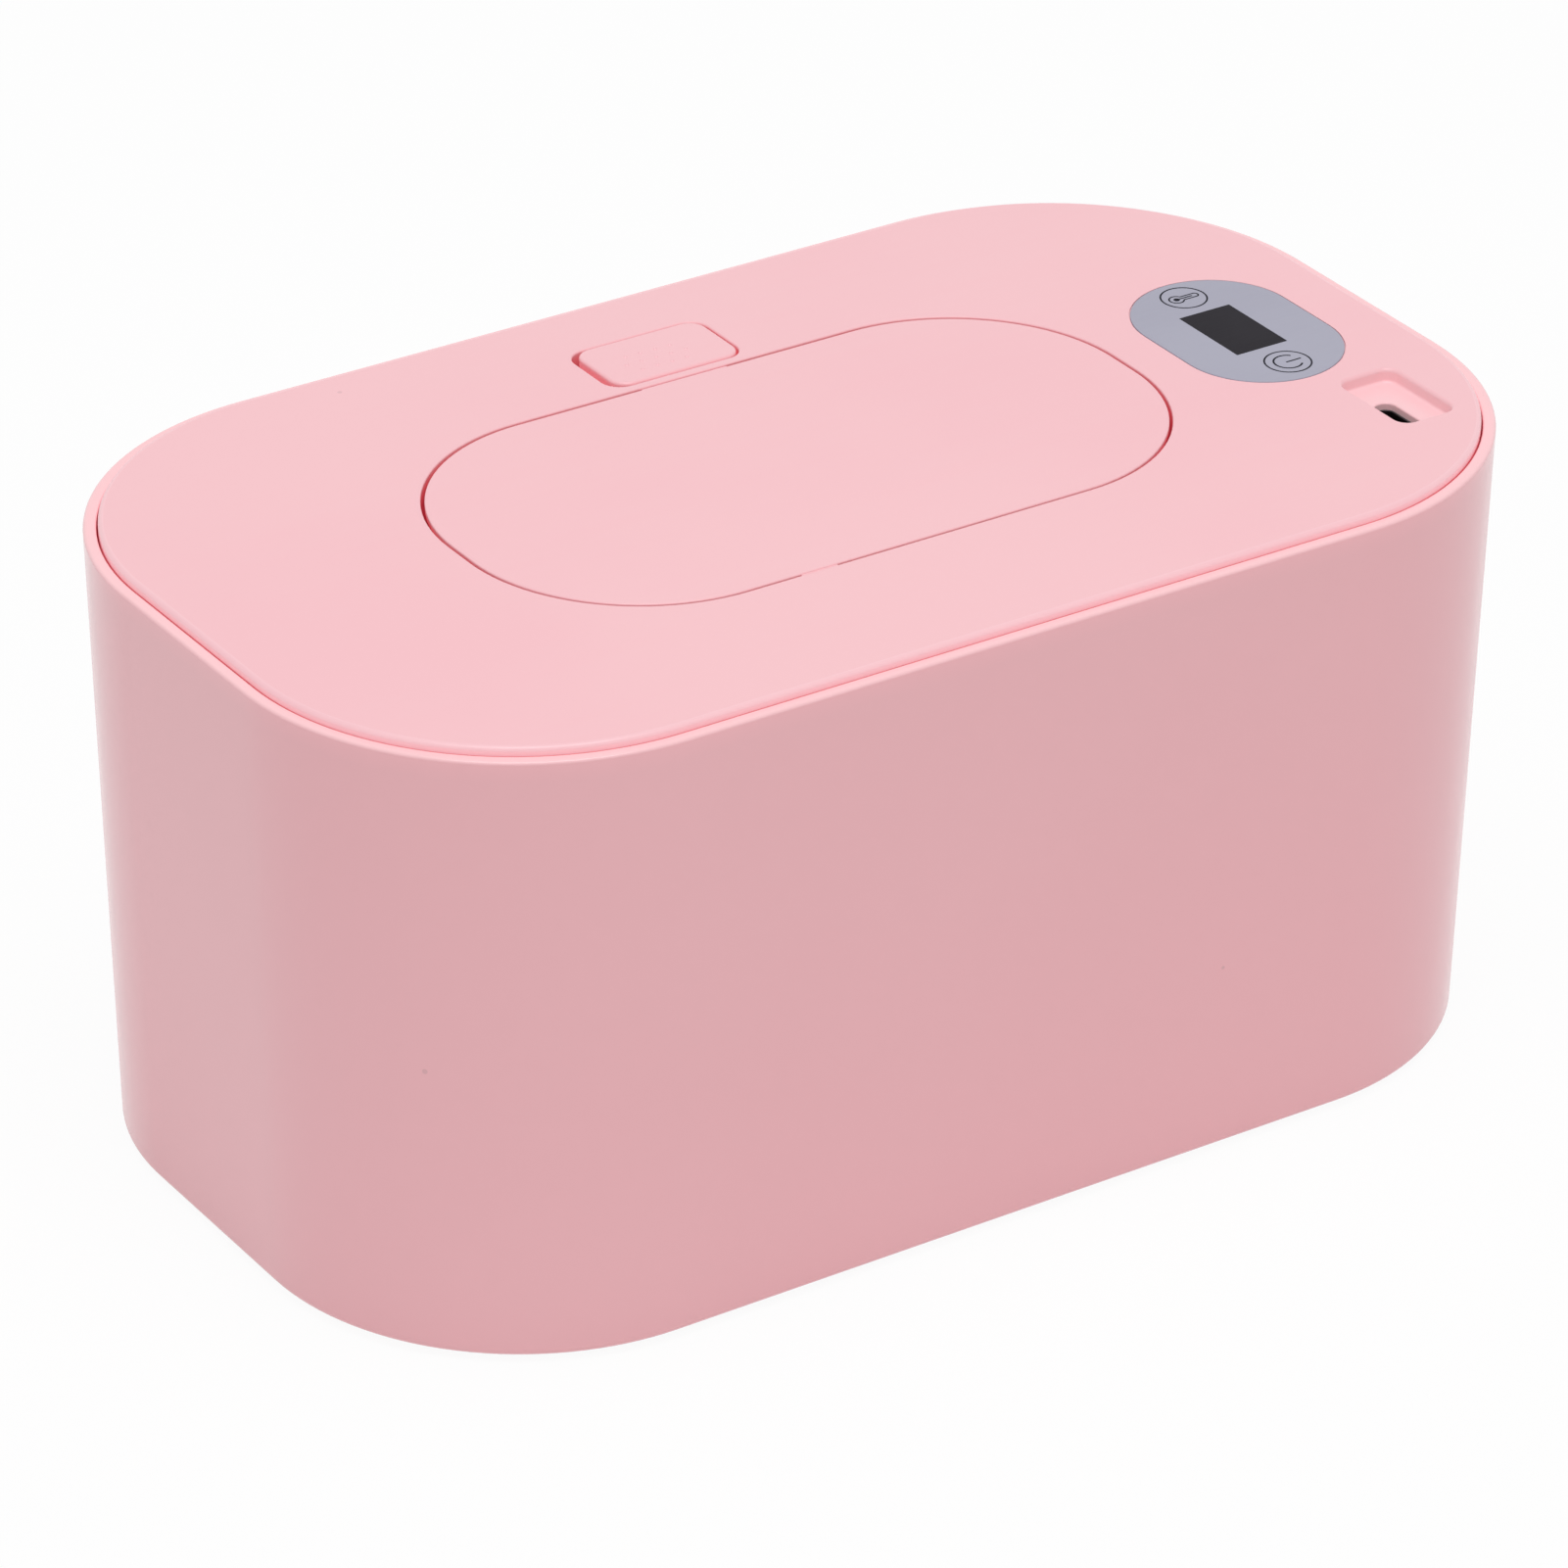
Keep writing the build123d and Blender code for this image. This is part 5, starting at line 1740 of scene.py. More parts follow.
    def pocket_bottom(self, shell: Shell) -> None:
        """Makes the pocket's floor, with the holes for the hooks and the latch's rails.

        Args:
            shell: The shell that takes it.
        """
        middle = self.pocket.centre[1]
        floor = self.pocket.ring(self.floor_inset)
        least, most = floor.min(axis=0) + FLAT, floor.max(axis=0) - FLAT
        hooks = [block(*self.hook_hole, (place, middle)) for place in self.hook_places]
        holes = [np.clip(hook, least, most) for hook in hooks]
        shell.top([floor, *holes], self.pocket_floor)
        shell.underside([floor, *holes], self.pocket_base)
        for hole in holes:
            shell.shaft(hole, self.pocket_base, self.pocket_floor)
        place, thickness, height = self.rail
        low, high = self.pocket_floor - self.rail_lap, self.pocket_floor + height
        for side in (1, -1):
            rail = block(thickness, self.pocket.width, (side * place, middle))
            shell.prism(Facing.Z, [rail], low, high)

    def recesses(self, shell: Shell) -> None:
        """Makes the USB recess with the slot in its floor, and the panel's shallow recess.

        Args:
            shell: The shell that takes them.
        """
        deck, low = LEVEL.deck_top, self.slot_bottom
        rounds = (self.recess_round, self.recess_sweep)
        shell.band(self.recess, opening_edge(deck, self.recess_floor, self.recess_flat, rounds, 8))
        floor = [self.recess.ring(self.recess_flat), self.slot.ring(lip(self.slot_round))]
        shell.top(floor, self.recess_floor)
        rounds = (self.slot_round, 0.0)
        shell.band(self.slot, opening_edge(self.recess_floor, low, -self.slot_flat, rounds))
        housing = self.recess.ring(-self.housing)
        shell.underside([housing, self.slot.ring(-self.slot_flat)], low)
        shell.walls(Facing.Z, housing, low, LEVEL.deck_bottom)
        panel, window = self.panel.ring(), self.display_window.ring()
        sheet = deck - self.panel_depth
        shell.top([panel, window], sheet)
        shell.shaft(panel, sheet, deck).shaft(window, LEVEL.deck_bottom, sheet)

    def tube(self, radius: float, low: float, depth: float) -> Shell:
        """Makes a round boss that hangs from the deck, with a blind pilot hole from below.

        Args:
            radius: The boss's radius.
            low: Height of its lower end.
            depth: Depth of the hole.

        Returns:
            The boss.
        """
        wall, top = radius - self.pilot_radius, LEVEL.deck_bottom + FLAT
        hole = [(radius, low + depth), (wall, low + depth), (wall, low)]
        outside = [(0.0, low), (0.0, top), (radius, top)]
        profile = bend([*hole, *outside], self.tube_rounds, 3)
        return Shell().band(circle(radius), profile)

    def fittings(self, shell: Shell) -> None:
        """Makes the hinge pin's lugs, the spring's stop, the board's posts and the bosses.

        A lug is a half circle under the pin's axis, with straight sides up into the deck.

        Args:
            shell: The shell that takes them.
        """
        across, _ = self.pivot
        radius, top = self.lug_radius, LEVEL.deck_bottom + self.bury
        turns = np.linspace(math.pi, 2 * math.pi, 13)
        arc = np.stack([np.cos(turns), np.sin(turns)], axis=1) * radius + self.pivot
        ring = np.vstack([arc, [[across + radius, top], [across - radius, top]]])
        hole = circle(self.pin_hole, self.pivot, 4).ring()
        for start in self.lug_starts:
            shell.prism(Facing.X, [ring, hole], start, start + self.lug_thickness)
        stop_x, stop_y, stop_z = self.spring_stop
        shell.prism(Facing.Z, [block(*self.stop_size, (stop_x, stop_y))], stop_z, top)
        post_depth, boss_depth = self.pilot_depths
        posts = self.tube(self.post_radius, LEVEL.board_top, post_depth)
        bosses = self.tube(self.boss_radius, LEVEL.cover_floor, boss_depth)
        shell.join(posts.repeated(standing(POST_PLACES)))
        shell.join(bosses.repeated(standing(BOSS_PLACES)))

    def build(self) -> None:
        """Makes and dresses the moulding."""
        shell = Shell()
        self.deck(shell)
        self.well_walls(shell)
        self.pocket_walls(shell)
        # The recesses and the fittings take the third finish: a painted glow.
        shell.kind = 2
        self.recesses(shell)
        self.fittings(shell)
        finishes = [COVER_PLASTIC, COVER_EDGE_LIT, RECESS_LIT]
        shell.piece("cover_shell", finishes, Body.COVER, "cover_plastic", ["top_cover"])


@dataclass
class CoverFloor:
    """The plate that closes the cover from below, with the collar round the mouth, and the seal.

    Attributes:
        inset: How far the plate's edge lies inside the rim.
        mouth: Outline of the mouth that the wipes come out of.
        collar_wall: Thickness of the collar.
        seal_insets: Where the seal's outer and inner edges lie inside the rim.
        head_radius: Radius of the counterbores for the cover's screws.
        head_depth: Depth of those counterbores.
        boss_radius: Radius of the bosses that the heater plate is screwed to.
        lead_hole: Size of the holes for the leads.
        lead_place: Place of those holes, mirrored across X.
        edge_flat: How far in from its edge the plate's faces begin.
        collar_foot: Width of the foot that runs out of the collar into the plate.
        seal_groove: Half widths of the seal's groove, deep and at its mouth, and its depth.
        edge_rounds: Radii of the plate's edge.
        collar_rounds: Radii along the collar's profile.
        seal_rounds: Radii along half of the seal's profile.
        boss_round: Radius of a boss's lower edge.
        boss_lap: How far a boss reaches up into the plate.
    """

    inset: float = 5.25
    mouth: Outline = Outline(92.0, 40.0, 20.0, steps=20)
    collar_wall: float = 2.0
    seal_insets: tuple[float, float] = (6.0, 10.0)
    head_radius: float = 2.2
    head_depth: float = 1.1
    boss_radius: float = 2.5
    lead_hole: tuple[float, float] = (2.4, 4.6)
    lead_place: tuple[float, float] = (58.8, 15.5)
    edge_flat: float = 1.0
    collar_foot: float = 1.2
    seal_groove: tuple[float, float, float] = (0.5, 0.8, 0.25)
    edge_rounds: tuple[float, float] = (0.25, 0.25)
    collar_rounds: tuple[float, float, float, float] = (0.8, 0.7, 0.9, 0.6)
    seal_rounds: tuple[float, float, float, float] = (0.15, 0.15, 0.35, 0.2)
    boss_round: float = 0.3
    boss_lap: float = 0.2

    def floor(self) -> Shell:
        """Makes the plate's edge, the collar's profile round the mouth, and the two faces.

        Returns:
            The floor.
        """
        low, high, foot = LEVEL.cover_bottom, LEVEL.cover_floor, self.collar_foot
        collar = bend(
            [
                (-self.collar_wall - foot, high),
                (-self.collar_wall, high),
                (-self.collar_wall, LEVEL.collar_top),
                (0.0, LEVEL.collar_top),
                (0.0, low),
                (-foot, low),
            ],
            self.collar_rounds,
        )
        edge = slab_edge(self.edge_flat, low, high, self.edge_rounds, 3, self.inset)
        plate = Shell().band(RIM, edge).band(self.mouth, collar)
        across, along = self.lead_place
        leads = [block(*self.lead_hole, (across, side * along)) for side in (1, -1)]
        heads = [circle(self.head_radius, tuple(place)).ring() for place in BOSS_PLACES]
        rim = RIM.ring(self.inset + self.edge_flat)
        plate.top([rim, self.mouth.ring(-self.collar_wall - foot), *leads], high)
        plate.underside([rim, self.mouth.ring(-foot), *leads, *heads], low)
        for lead in leads:
            plate.shaft(lead, low, high)
        seat = low + self.head_depth
        for head in heads:
            plate.shaft(head, low, seat).underside([head], seat)
        radius, head = self.boss_radius, low + self.boss_lap
        boss = slab_edge(radius, LEVEL.film_bottom, head, (self.boss_round, 0.0), 3)
        bosses = Shell().band(circle(radius), boss)
        return plate.join(bosses.repeated(standing(PLATE_SCREW_PLACES)))

    def seal(self) -> Shell:
        """Makes a flat ring of silicone with round edges and a groove along its lower face.

        Returns:
            The seal.
        """
        out, into = self.seal_insets
        middle, (floor, slope, depth) = (out + into) / 2, self.seal_groove
        low, high = LEVEL.flange_top, LEVEL.cover_bottom
        deep = low + depth
        first = [(middle, deep), (middle - floor, deep), (middle - slope, low), (out, low)]
        last = [(into, low), (middle + slope, low), (middle + floor, deep), (middle, deep)]
        rounds = self.seal_rounds + self.seal_rounds[::-1]
        profile = bend([*first, (out, high), (into, high), *last], rounds, 3)
        return Shell().band(RIM, profile)

    def build(self) -> None:
        """Makes and dresses the floor and its seal."""
        self.floor().piece(
            "cover_floor", [UNDER_PLASTIC], Body.COVER, "under_plastic", ["under_cover"]
        )
        self.seal().piece(
            "cover_gasket", [SEAL_SILICONE], Body.COVER, "seal_rubber", ["cover_seal"]
        )


@dataclass
class FlipLid:
    """The flush lid, the frame under it with the catch and the two gooseneck arms, and its seal.

    Attributes:
        lid: Outline of the lid.
        edge_round: Radius of its upper edge.
        under_round: Radius of its lower edge.
        frame: Outline of the frame.
        seal: Middle line of the seal.
        groove_half: Half the width of the seal's groove.
        groove_top: Height of the groove's roof.
        catch: Outline of the catch in Y and Z.
        catch_width: Width of the catch.
        arm: Outline of an arm in Y and Z.
        arm_width: Width of an arm.
        arm_place: Place of the arms along X.
        pivot: The hinge pin's axis in Y and Z.
        hub_radius: Radius of an arm's eye.
        pin_hole: Radius of the hole in it.
        seal_bottom: Height of the seal's lower face.
        tabs: Start, end and side of the tabs that steady the lid's edge in the well.
        tab_reach: How far a tab stands out.
        tab_drop: How far a tab lies below the lid's face.
        tab_foot: How far its lower end lies below that face.
        tab_bevel: Bevel of its upper edge.
        frame_flat: How far in from its edge the frame's faces begin.
        groove_flat: Width of the flat beside the groove.
        lip_half: Half the width of the seal's lip at its end.
        lip_neck: How far below the frame the lip starts to narrow.
        proud: How far an eye stands out from its arm on each side.
        groove_round: Radius of the groove's edges.
        frame_round: Radius of the frame's lower edge.
        seal_rounds: Radii along the seal's profile.
        face_lap: How far in from its lower edge's round the lid's faces begin.
        tab_root: How far a tab reaches into the lid.
    """

    lid: Outline = Outline(111.5, 60.1, 27.2, (0.25, -0.08), 24)
    edge_round: float = 0.26
    under_round: float = 1.2
    frame: Outline = Outline(100.0, 50.0, 22.0, steps=16)
    seal: Outline = Outline(94.0, 42.0, 21.0, steps=16)
    groove_half: float = 1.3
    groove_top: float = 93.6
    catch: tuple[tuple[float, float], ...] = (
        (23.0, 94.8), (28.9, 94.8), (28.9, 92.2), (29.9, 91.9),
        (29.9, 91.0), (27.4, 91.0), (27.4, 93.0), (23.0, 93.0),
    )
    catch_width: float = 12.0
    arm: tuple[tuple[float, float], ...] = (
        (-23.0, 94.8), (-28.6, 94.8), (-28.6, 86.9), (-34.6, 86.9), (-34.6, 92.6),
        (-36.4, 92.6), (-36.4, 85.1), (-26.8, 85.1), (-26.8, 93.0), (-23.0, 93.0),
    )
    arm_width: float = 6.0
    arm_place: float = ARM_PLACE
    pivot: tuple[float, float] = PIVOT
    hub_radius: float = 1.7
    pin_hole: float = PIN_HOLE
    seal_bottom: float = 91.3
    tabs: tuple[tuple[float, float, int], ...] = ((-7.2, 7.3, 1), (-19.4, -13.5, -1))
    tab_reach: float = 0.42
    tab_drop: float = 0.2
    tab_foot: float = 1.2
    tab_bevel: float = 0.15
    frame_flat: float = 1.0
    groove_flat: float = 0.2
    lip_half: float = 0.35
    lip_neck: float = 0.4
    proud: float = 0.005
    groove_round: float = 0.12
    frame_round: float = 0.5
    seal_rounds: tuple[float, ...] = (0.1, 0.3, 0.3, 0.3, 0.3, 0.1)
    face_lap: float = 0.5
    tab_root: float = 1.0

    def plate(self) -> Shell:
        """Makes the lid, with its edges rounded above and below, and its two tabs.

        Returns:
            The lid.
        """
        top, rounds = LEVEL.deck_top, (self.under_round, self.edge_round)
        inset = self.under_round + self.face_lap
        lid = Shell().slab(self.lid, inset, (LEVEL.lid_bottom, top), rounds)
        near, far = self.lid.width / 2 - self.tab_root, self.lid.width / 2 + self.tab_reach
        low, high, bevel = top - self.tab_foot, top - self.tab_drop, self.tab_bevel
        tab = np.array(
            [(near, low), (far, low), (far, high - bevel), (far - bevel, high), (near, high)]
        )
        for start, end, side in self.tabs:
            lid.prism(Facing.X, [tab * [side, 1]], start, end)
        return lid

    def under_frame(self) -> Shell:
        """Makes the frame with the seal's groove, then the catch and the arms with their eyes.

        Returns:
            The frame.
        """
        low, half, roof = LEVEL.frame_bottom, self.groove_half, self.groove_top
        outside = half + self.groove_flat
        inner = [(-outside, low), (-half, low), (-half, roof)]
        outer = [(half, roof), (half, low), (outside, low)]
        rounds = [self.groove_round, 0.0, 0.0, self.groove_round]
        groove = bend(inner + outer, rounds, 3)[::-1] * np.array([1, 1, -1, -1])
        edge = slab_edge(self.frame_flat, low, LEVEL.lid_bottom, (self.frame_round, 0.0))
        made = Shell().band(self.frame, edge).band(self.seal, groove)
        rim = self.frame.ring(self.frame_flat)
        made.underside([rim, self.seal.ring(-outside)], low)
        made.underside([self.seal.ring(outside)], low)
        made.top([rim], LEVEL.lid_bottom)
        made.prism(Facing.X, [np.array(self.catch)], -self.catch_width / 2, self.catch_width / 2)
        hub, hole = circle(self.hub_radius, self.pivot), circle(self.pin_hole, self.pivot, 4)
        for side in (1, -1):
            start = side * self.arm_place - self.arm_width / 2
            end = start + self.arm_width
            made.prism(Facing.X, [np.array(self.arm)], start, end)
            made.prism(Facing.X, [hub.ring(), hole.ring()], start - self.proud, end + self.proud)
        return made

    def gasket(self) -> Shell:
        """Makes the seal: a ring with a rounded lip that meets the collar.

        Returns:
            The seal.
        """
        half, roof, tip = self.groove_half, self.groove_top, self.lip_half
        neck = LEVEL.frame_bottom - self.lip_neck
        first = [(0.0, roof), (half, roof), (half, neck), (tip, self.seal_bottom)]
        last = [(-across, level) for across, level in first[::-1]]
        return Shell().band(self.seal, bend(first + last, self.seal_rounds, 4))

    def build(self) -> None:
        """Makes and dresses the lid's pieces."""
        self.plate().piece("lid_plate", [LID_GAP_GLOW], Body.LID, "cover_plastic", ["flip_lid"])
        self.under_frame().piece(
            "lid_under_frame", [UNDER_PLASTIC], Body.LID, "cover_plastic", ["lid_frame"]
        )
        self.gasket().piece("lid_gasket", [SEAL_SILICONE], Body.LID, "seal_rubber", ["lid_seal"])
        dress({"hinge_pin": SPRING_STEEL, "lid_spring": SPRING_STEEL})


@dataclass
class ButtonLatch:
    """The release button with its grip dots, cheeks, hooks and wedge, and the latch it drives.

    Attributes:
        cap: Outline of the cap.
        cap_bottom: Height of the cap's underside.
        cap_top: Height of the cap's face, below the dots.
        cap_round: Radius of the cap's edge.
        cap_flat: How far in from its edge the cap's faces begin.
        dot_top: Height of the dots.
        dot_rows: How many dots each row has.
        dot_radius: Radius of a dot.
        dot_pitch: Distance between dots in a row, and between rows.
        dot_shift: How far the dots lie from the cap's middle, along Y.
        cheek: Thickness, length and lower end of the cheeks that guide the cap.
        cheek_places: Places of the cheeks and hooks along X.
        hook: Thickness, width and lower end of a hook.
        barb: Depth of a hook's barb, how far it lies from the hook, and its upper end.
        wedge: Outline of the wedge in Y and Z.
        wedge_width: Width of the wedge.
        lap: How far cheeks, hooks and barbs reach into one another.
        cap_under_round: Radius of the cap's lower edge.
        dot_shape: A dot's slope, its round, and how far it reaches into the cap.
    """

    cap: Outline = Outline(21.25, 12.9, 2.7, (0.925, 38.8), 8)
    cap_bottom: float = 96.02
    cap_top: float = 96.98
    cap_round: float = 0.5
    cap_flat: float = 1.2
    dot_top: float = 97.12
    dot_rows: tuple[int, int, int] = (4, 5, 4)
    dot_radius: float = 0.36
    dot_pitch: tuple[float, float] = (2.52, 2.35)
    dot_shift: float = -1.1
    cheek: tuple[float, float, float] = (1.2, 9.0, 91.8)
    cheek_places: tuple[float, float] = HOOK_PLACES
    hook: tuple[float, float, float] = (1.2, 3.0, 87.8)
    barb: tuple[float, float, float] = (1.0, 1.05, 89.0)
    wedge: tuple[tuple[float, float], ...] = (
        (34.2, 96.3), (34.2, 92.0), (36.059, 92.0), (38.459, 94.4), (38.459, 96.3),
    )
    wedge_width: float = 6.0
    lap: float = 0.1
    cap_under_round: float = 0.2
    dot_shape: tuple[float, float, float] = (0.2, 0.16, 0.02)

    def dot_places(self) -> Array:
        """Places three rows of dots, each row centred.

        Returns:
            The dots' places in X, Y and Z.
        """
        rows = np.repeat([-1, 0, 1], self.dot_rows)
        across = np.concatenate([np.arange(n) - (n - 1) / 2 for n in self.dot_rows])
        y = self.cap.centre[1] + self.dot_shift + rows * self.dot_pitch[1]
        return standing(np.column_stack([across * self.dot_pitch[0], y]))

    def dots(self) -> Shell:
        """Makes the grip dots: low domes on the cap's face.

        Returns:
            All the dots.
        """
        slope, curve, sink = self.dot_shape
        radius, low, high = self.dot_radius, self.cap_top - sink, self.dot_top
        dome = bend([(0.0, low), (slope, high), (radius, high)], [curve], 3)
        return Shell().band(circle(radius, steps=3), dome).repeated(self.dot_places())

    def shell(self) -> Shell:
        """Makes the cap, its dots, and what hangs under it.

        Returns:
            The button.
        """
        levels = (self.cap_bottom, self.cap_top)
        rounds = (self.cap_under_round, self.cap_round)
        made = Shell().slab(self.cap, self.cap_flat, levels, rounds).join(self.dots())
        middle, lap = self.cap.centre[1], self.lap
        thickness, length, low = self.cheek
        hook_thickness, hook_width, hook_low = self.hook
        barb_depth, barb_place, barb_high = self.barb
        for place in self.cheek_places:
            inwards = place - math.copysign(barb_place, place)
            cheek = block(thickness, length, (place, middle))
            hook = block(hook_thickness, hook_width, (place, middle))
            barb = block(barb_depth + lap, hook_width - 0.02, (inwards, middle))
            made.prism(Facing.Z, [cheek], low, self.cap_bottom + lap)
            made.prism(Facing.Z, [hook], hook_low, low + lap)
            made.prism(Facing.Z, [barb], hook_low, barb_high)
        half = self.wedge_width / 2
        return made.prism(Facing.X, [np.array(self.wedge)], -half, half)

    def build(self) -> None:
        """Makes and dresses the button, and dresses the latch behind it."""
        self.shell().piece(
            "button_cap", [BUTTON_SIDE_LIT], Body.BUTTON, "cover_plastic", ["release_button"]
        )
        dress({"latch_slide": LATCH_PLASTIC, "latch_spring": SPRING_STEEL})


@dataclass
class ControlPanel:
    """The printed overlay with its display window and two touch marks, and what is under it.

    Attributes:
        overlay: Outline of the overlay.
        overlay_bottom: Height of its underside.
        display: Outline of the display window.
        window_drop: How far the window's face lies below the overlay's.
        warmth_mark: Middle of the thermometer mark.
        power_mark: Middle of the power mark.
        ring_radius: Radius of the ring round a mark.
        line: Width of a printed line.
        ink: Thickness of the print.
        soft_edge: How far in the overlay's faces begin, and the radius of its edge.
        power_arc: Radius of the power sign's arc, and its two ends in degrees.
        power_line: Points of the line through its gap, along X.
        bulb: Place of the thermometer's bulb, its radius, and that of its filling.
        bulb_arc: Ends of the bulb's arc in degrees.
        tube: Place of the end of the thermometer's tube, and its radius.
        column: Points of the column inside it, along X.
        lines: Width of the power sign's lines, of the tube's and of the column.
    """

    overlay: Outline = Outline(24.8, 35.9, 12.4, (76.4, 0.0), 20)
    overlay_bottom: float = 96.5
    display: Outline = Outline(9.0, 14.5, 0.08, (76.05, 0.5), 2)
    window_drop: float = 0.02
    warmth_mark: tuple[float, float] = (76.25, 13.1)
    power_mark: tuple[float, float] = (76.5, -12.4)
    ring_radius: float = 3.45
    line: float = 0.26
    ink: float = 0.015
    soft_edge: tuple[float, float] = (0.4, 0.1)
    power_arc: tuple[float, float, float] = (2.1, 43.0, 317.0)
    power_line: tuple[float, float, float] = (-0.3, 1.0, 2.3)
    bulb: tuple[float, float, float] = (-1.29, 1.12, 0.48)
    bulb_arc: tuple[float, float] = (30.0, 330.0)
    tube: tuple[float, float] = (1.95, 0.55)
    column: tuple[float, float, float] = (-0.83, 0.0, 1.5)
    lines: tuple[float, float, float] = (0.28, 0.24, 0.26)

    def sheet(self) -> Shell:
        """Makes the overlay, with a slightly soft edge and a hole for the display.

        Returns:
            The overlay.
        """
        levels, hole = (self.overlay_bottom, LEVEL.deck_top - self.ink), self.display.ring()
        inset, radius = self.soft_edge
        made = Shell().slab(self.overlay, inset, levels, (0.0, radius), 3, [hole])
        return made.shaft(hole, *levels)

    def window(self) -> Shell:
        """The smoked window in the overlay."""
        top = LEVEL.deck_top - self.ink - self.window_drop
        return Shell().prism(Facing.Z, [self.display.ring(0.01)], self.overlay_bottom, top)

    def arc(self, centre: tuple[float, float], radius: float, start: float, end: float) -> Array:
        """Points of an arc between two angles in degrees."""
        turns = np.radians(np.linspace(start, end, 41))
        return np.array(centre) + radius * np.stack([np.cos(turns), np.sin(turns)], axis=1)

    def marks(self) -> Shell:
        """Prints both touch marks.

        Each has a ring. The power mark is an open arc with a line through its gap. The
        thermometer is a bulb's arc joined to a tube with a round end, and a column inside them.

        Returns:
            The print.
        """
        level = LEVEL.deck_top - self.ink
        sign, outline, filling = self.lines
        x, y = self.warmth_mark
        place, radius, core = self.bulb
        bulb, end = (x + place, y), (x + self.tube[0], y)
        tube = self.arc(end, self.tube[1], -90.0, 90.0)
        body = np.vstack([tube, self.arc(bulb, radius, *self.bulb_arc)])
        column = np.column_stack([self.column, np.zeros(3)]) + self.warmth_mark
        stem = np.column_stack([self.power_line, np.zeros(3)]) + self.power_mark
        made = Shell()
        for centre in (self.warmth_mark, self.power_mark):
            ring = self.arc(centre, self.ring_radius, 0.0, 360.0)[:-1]
            made.stroke(ring, self.line, level, self.ink, closed=True)
        made.stroke(self.arc(self.power_mark, *self.power_arc), sign, level, self.ink)
        made.stroke(stem, sign, level, self.ink)
        made.stroke(body, outline, level, self.ink, closed=True)
        made.stroke(column, filling, level, self.ink)
        return made.prism(Facing.Z, [circle(core, bulb, 4).ring()], level, level + self.ink)

    def build(self) -> None:
        """Makes and dresses the panel's pieces."""
        self.sheet().piece(
            "panel_sheet", [OVERLAY_FILM], Body.COVER, "overlay_film", ["panel_overlay"]
        )
        self.window().piece("panel_window", [WINDOW_PLASTIC], Body.COVER, "smoke_filter")
        self.marks().piece("panel_marks", [INK], Body.COVER, "overlay_film")
        dress({"display_filter": WINDOW_PLASTIC, "display_module": DISPLAY_PLASTIC})
        dress({"touch_pads": TOUCH_FOAM})


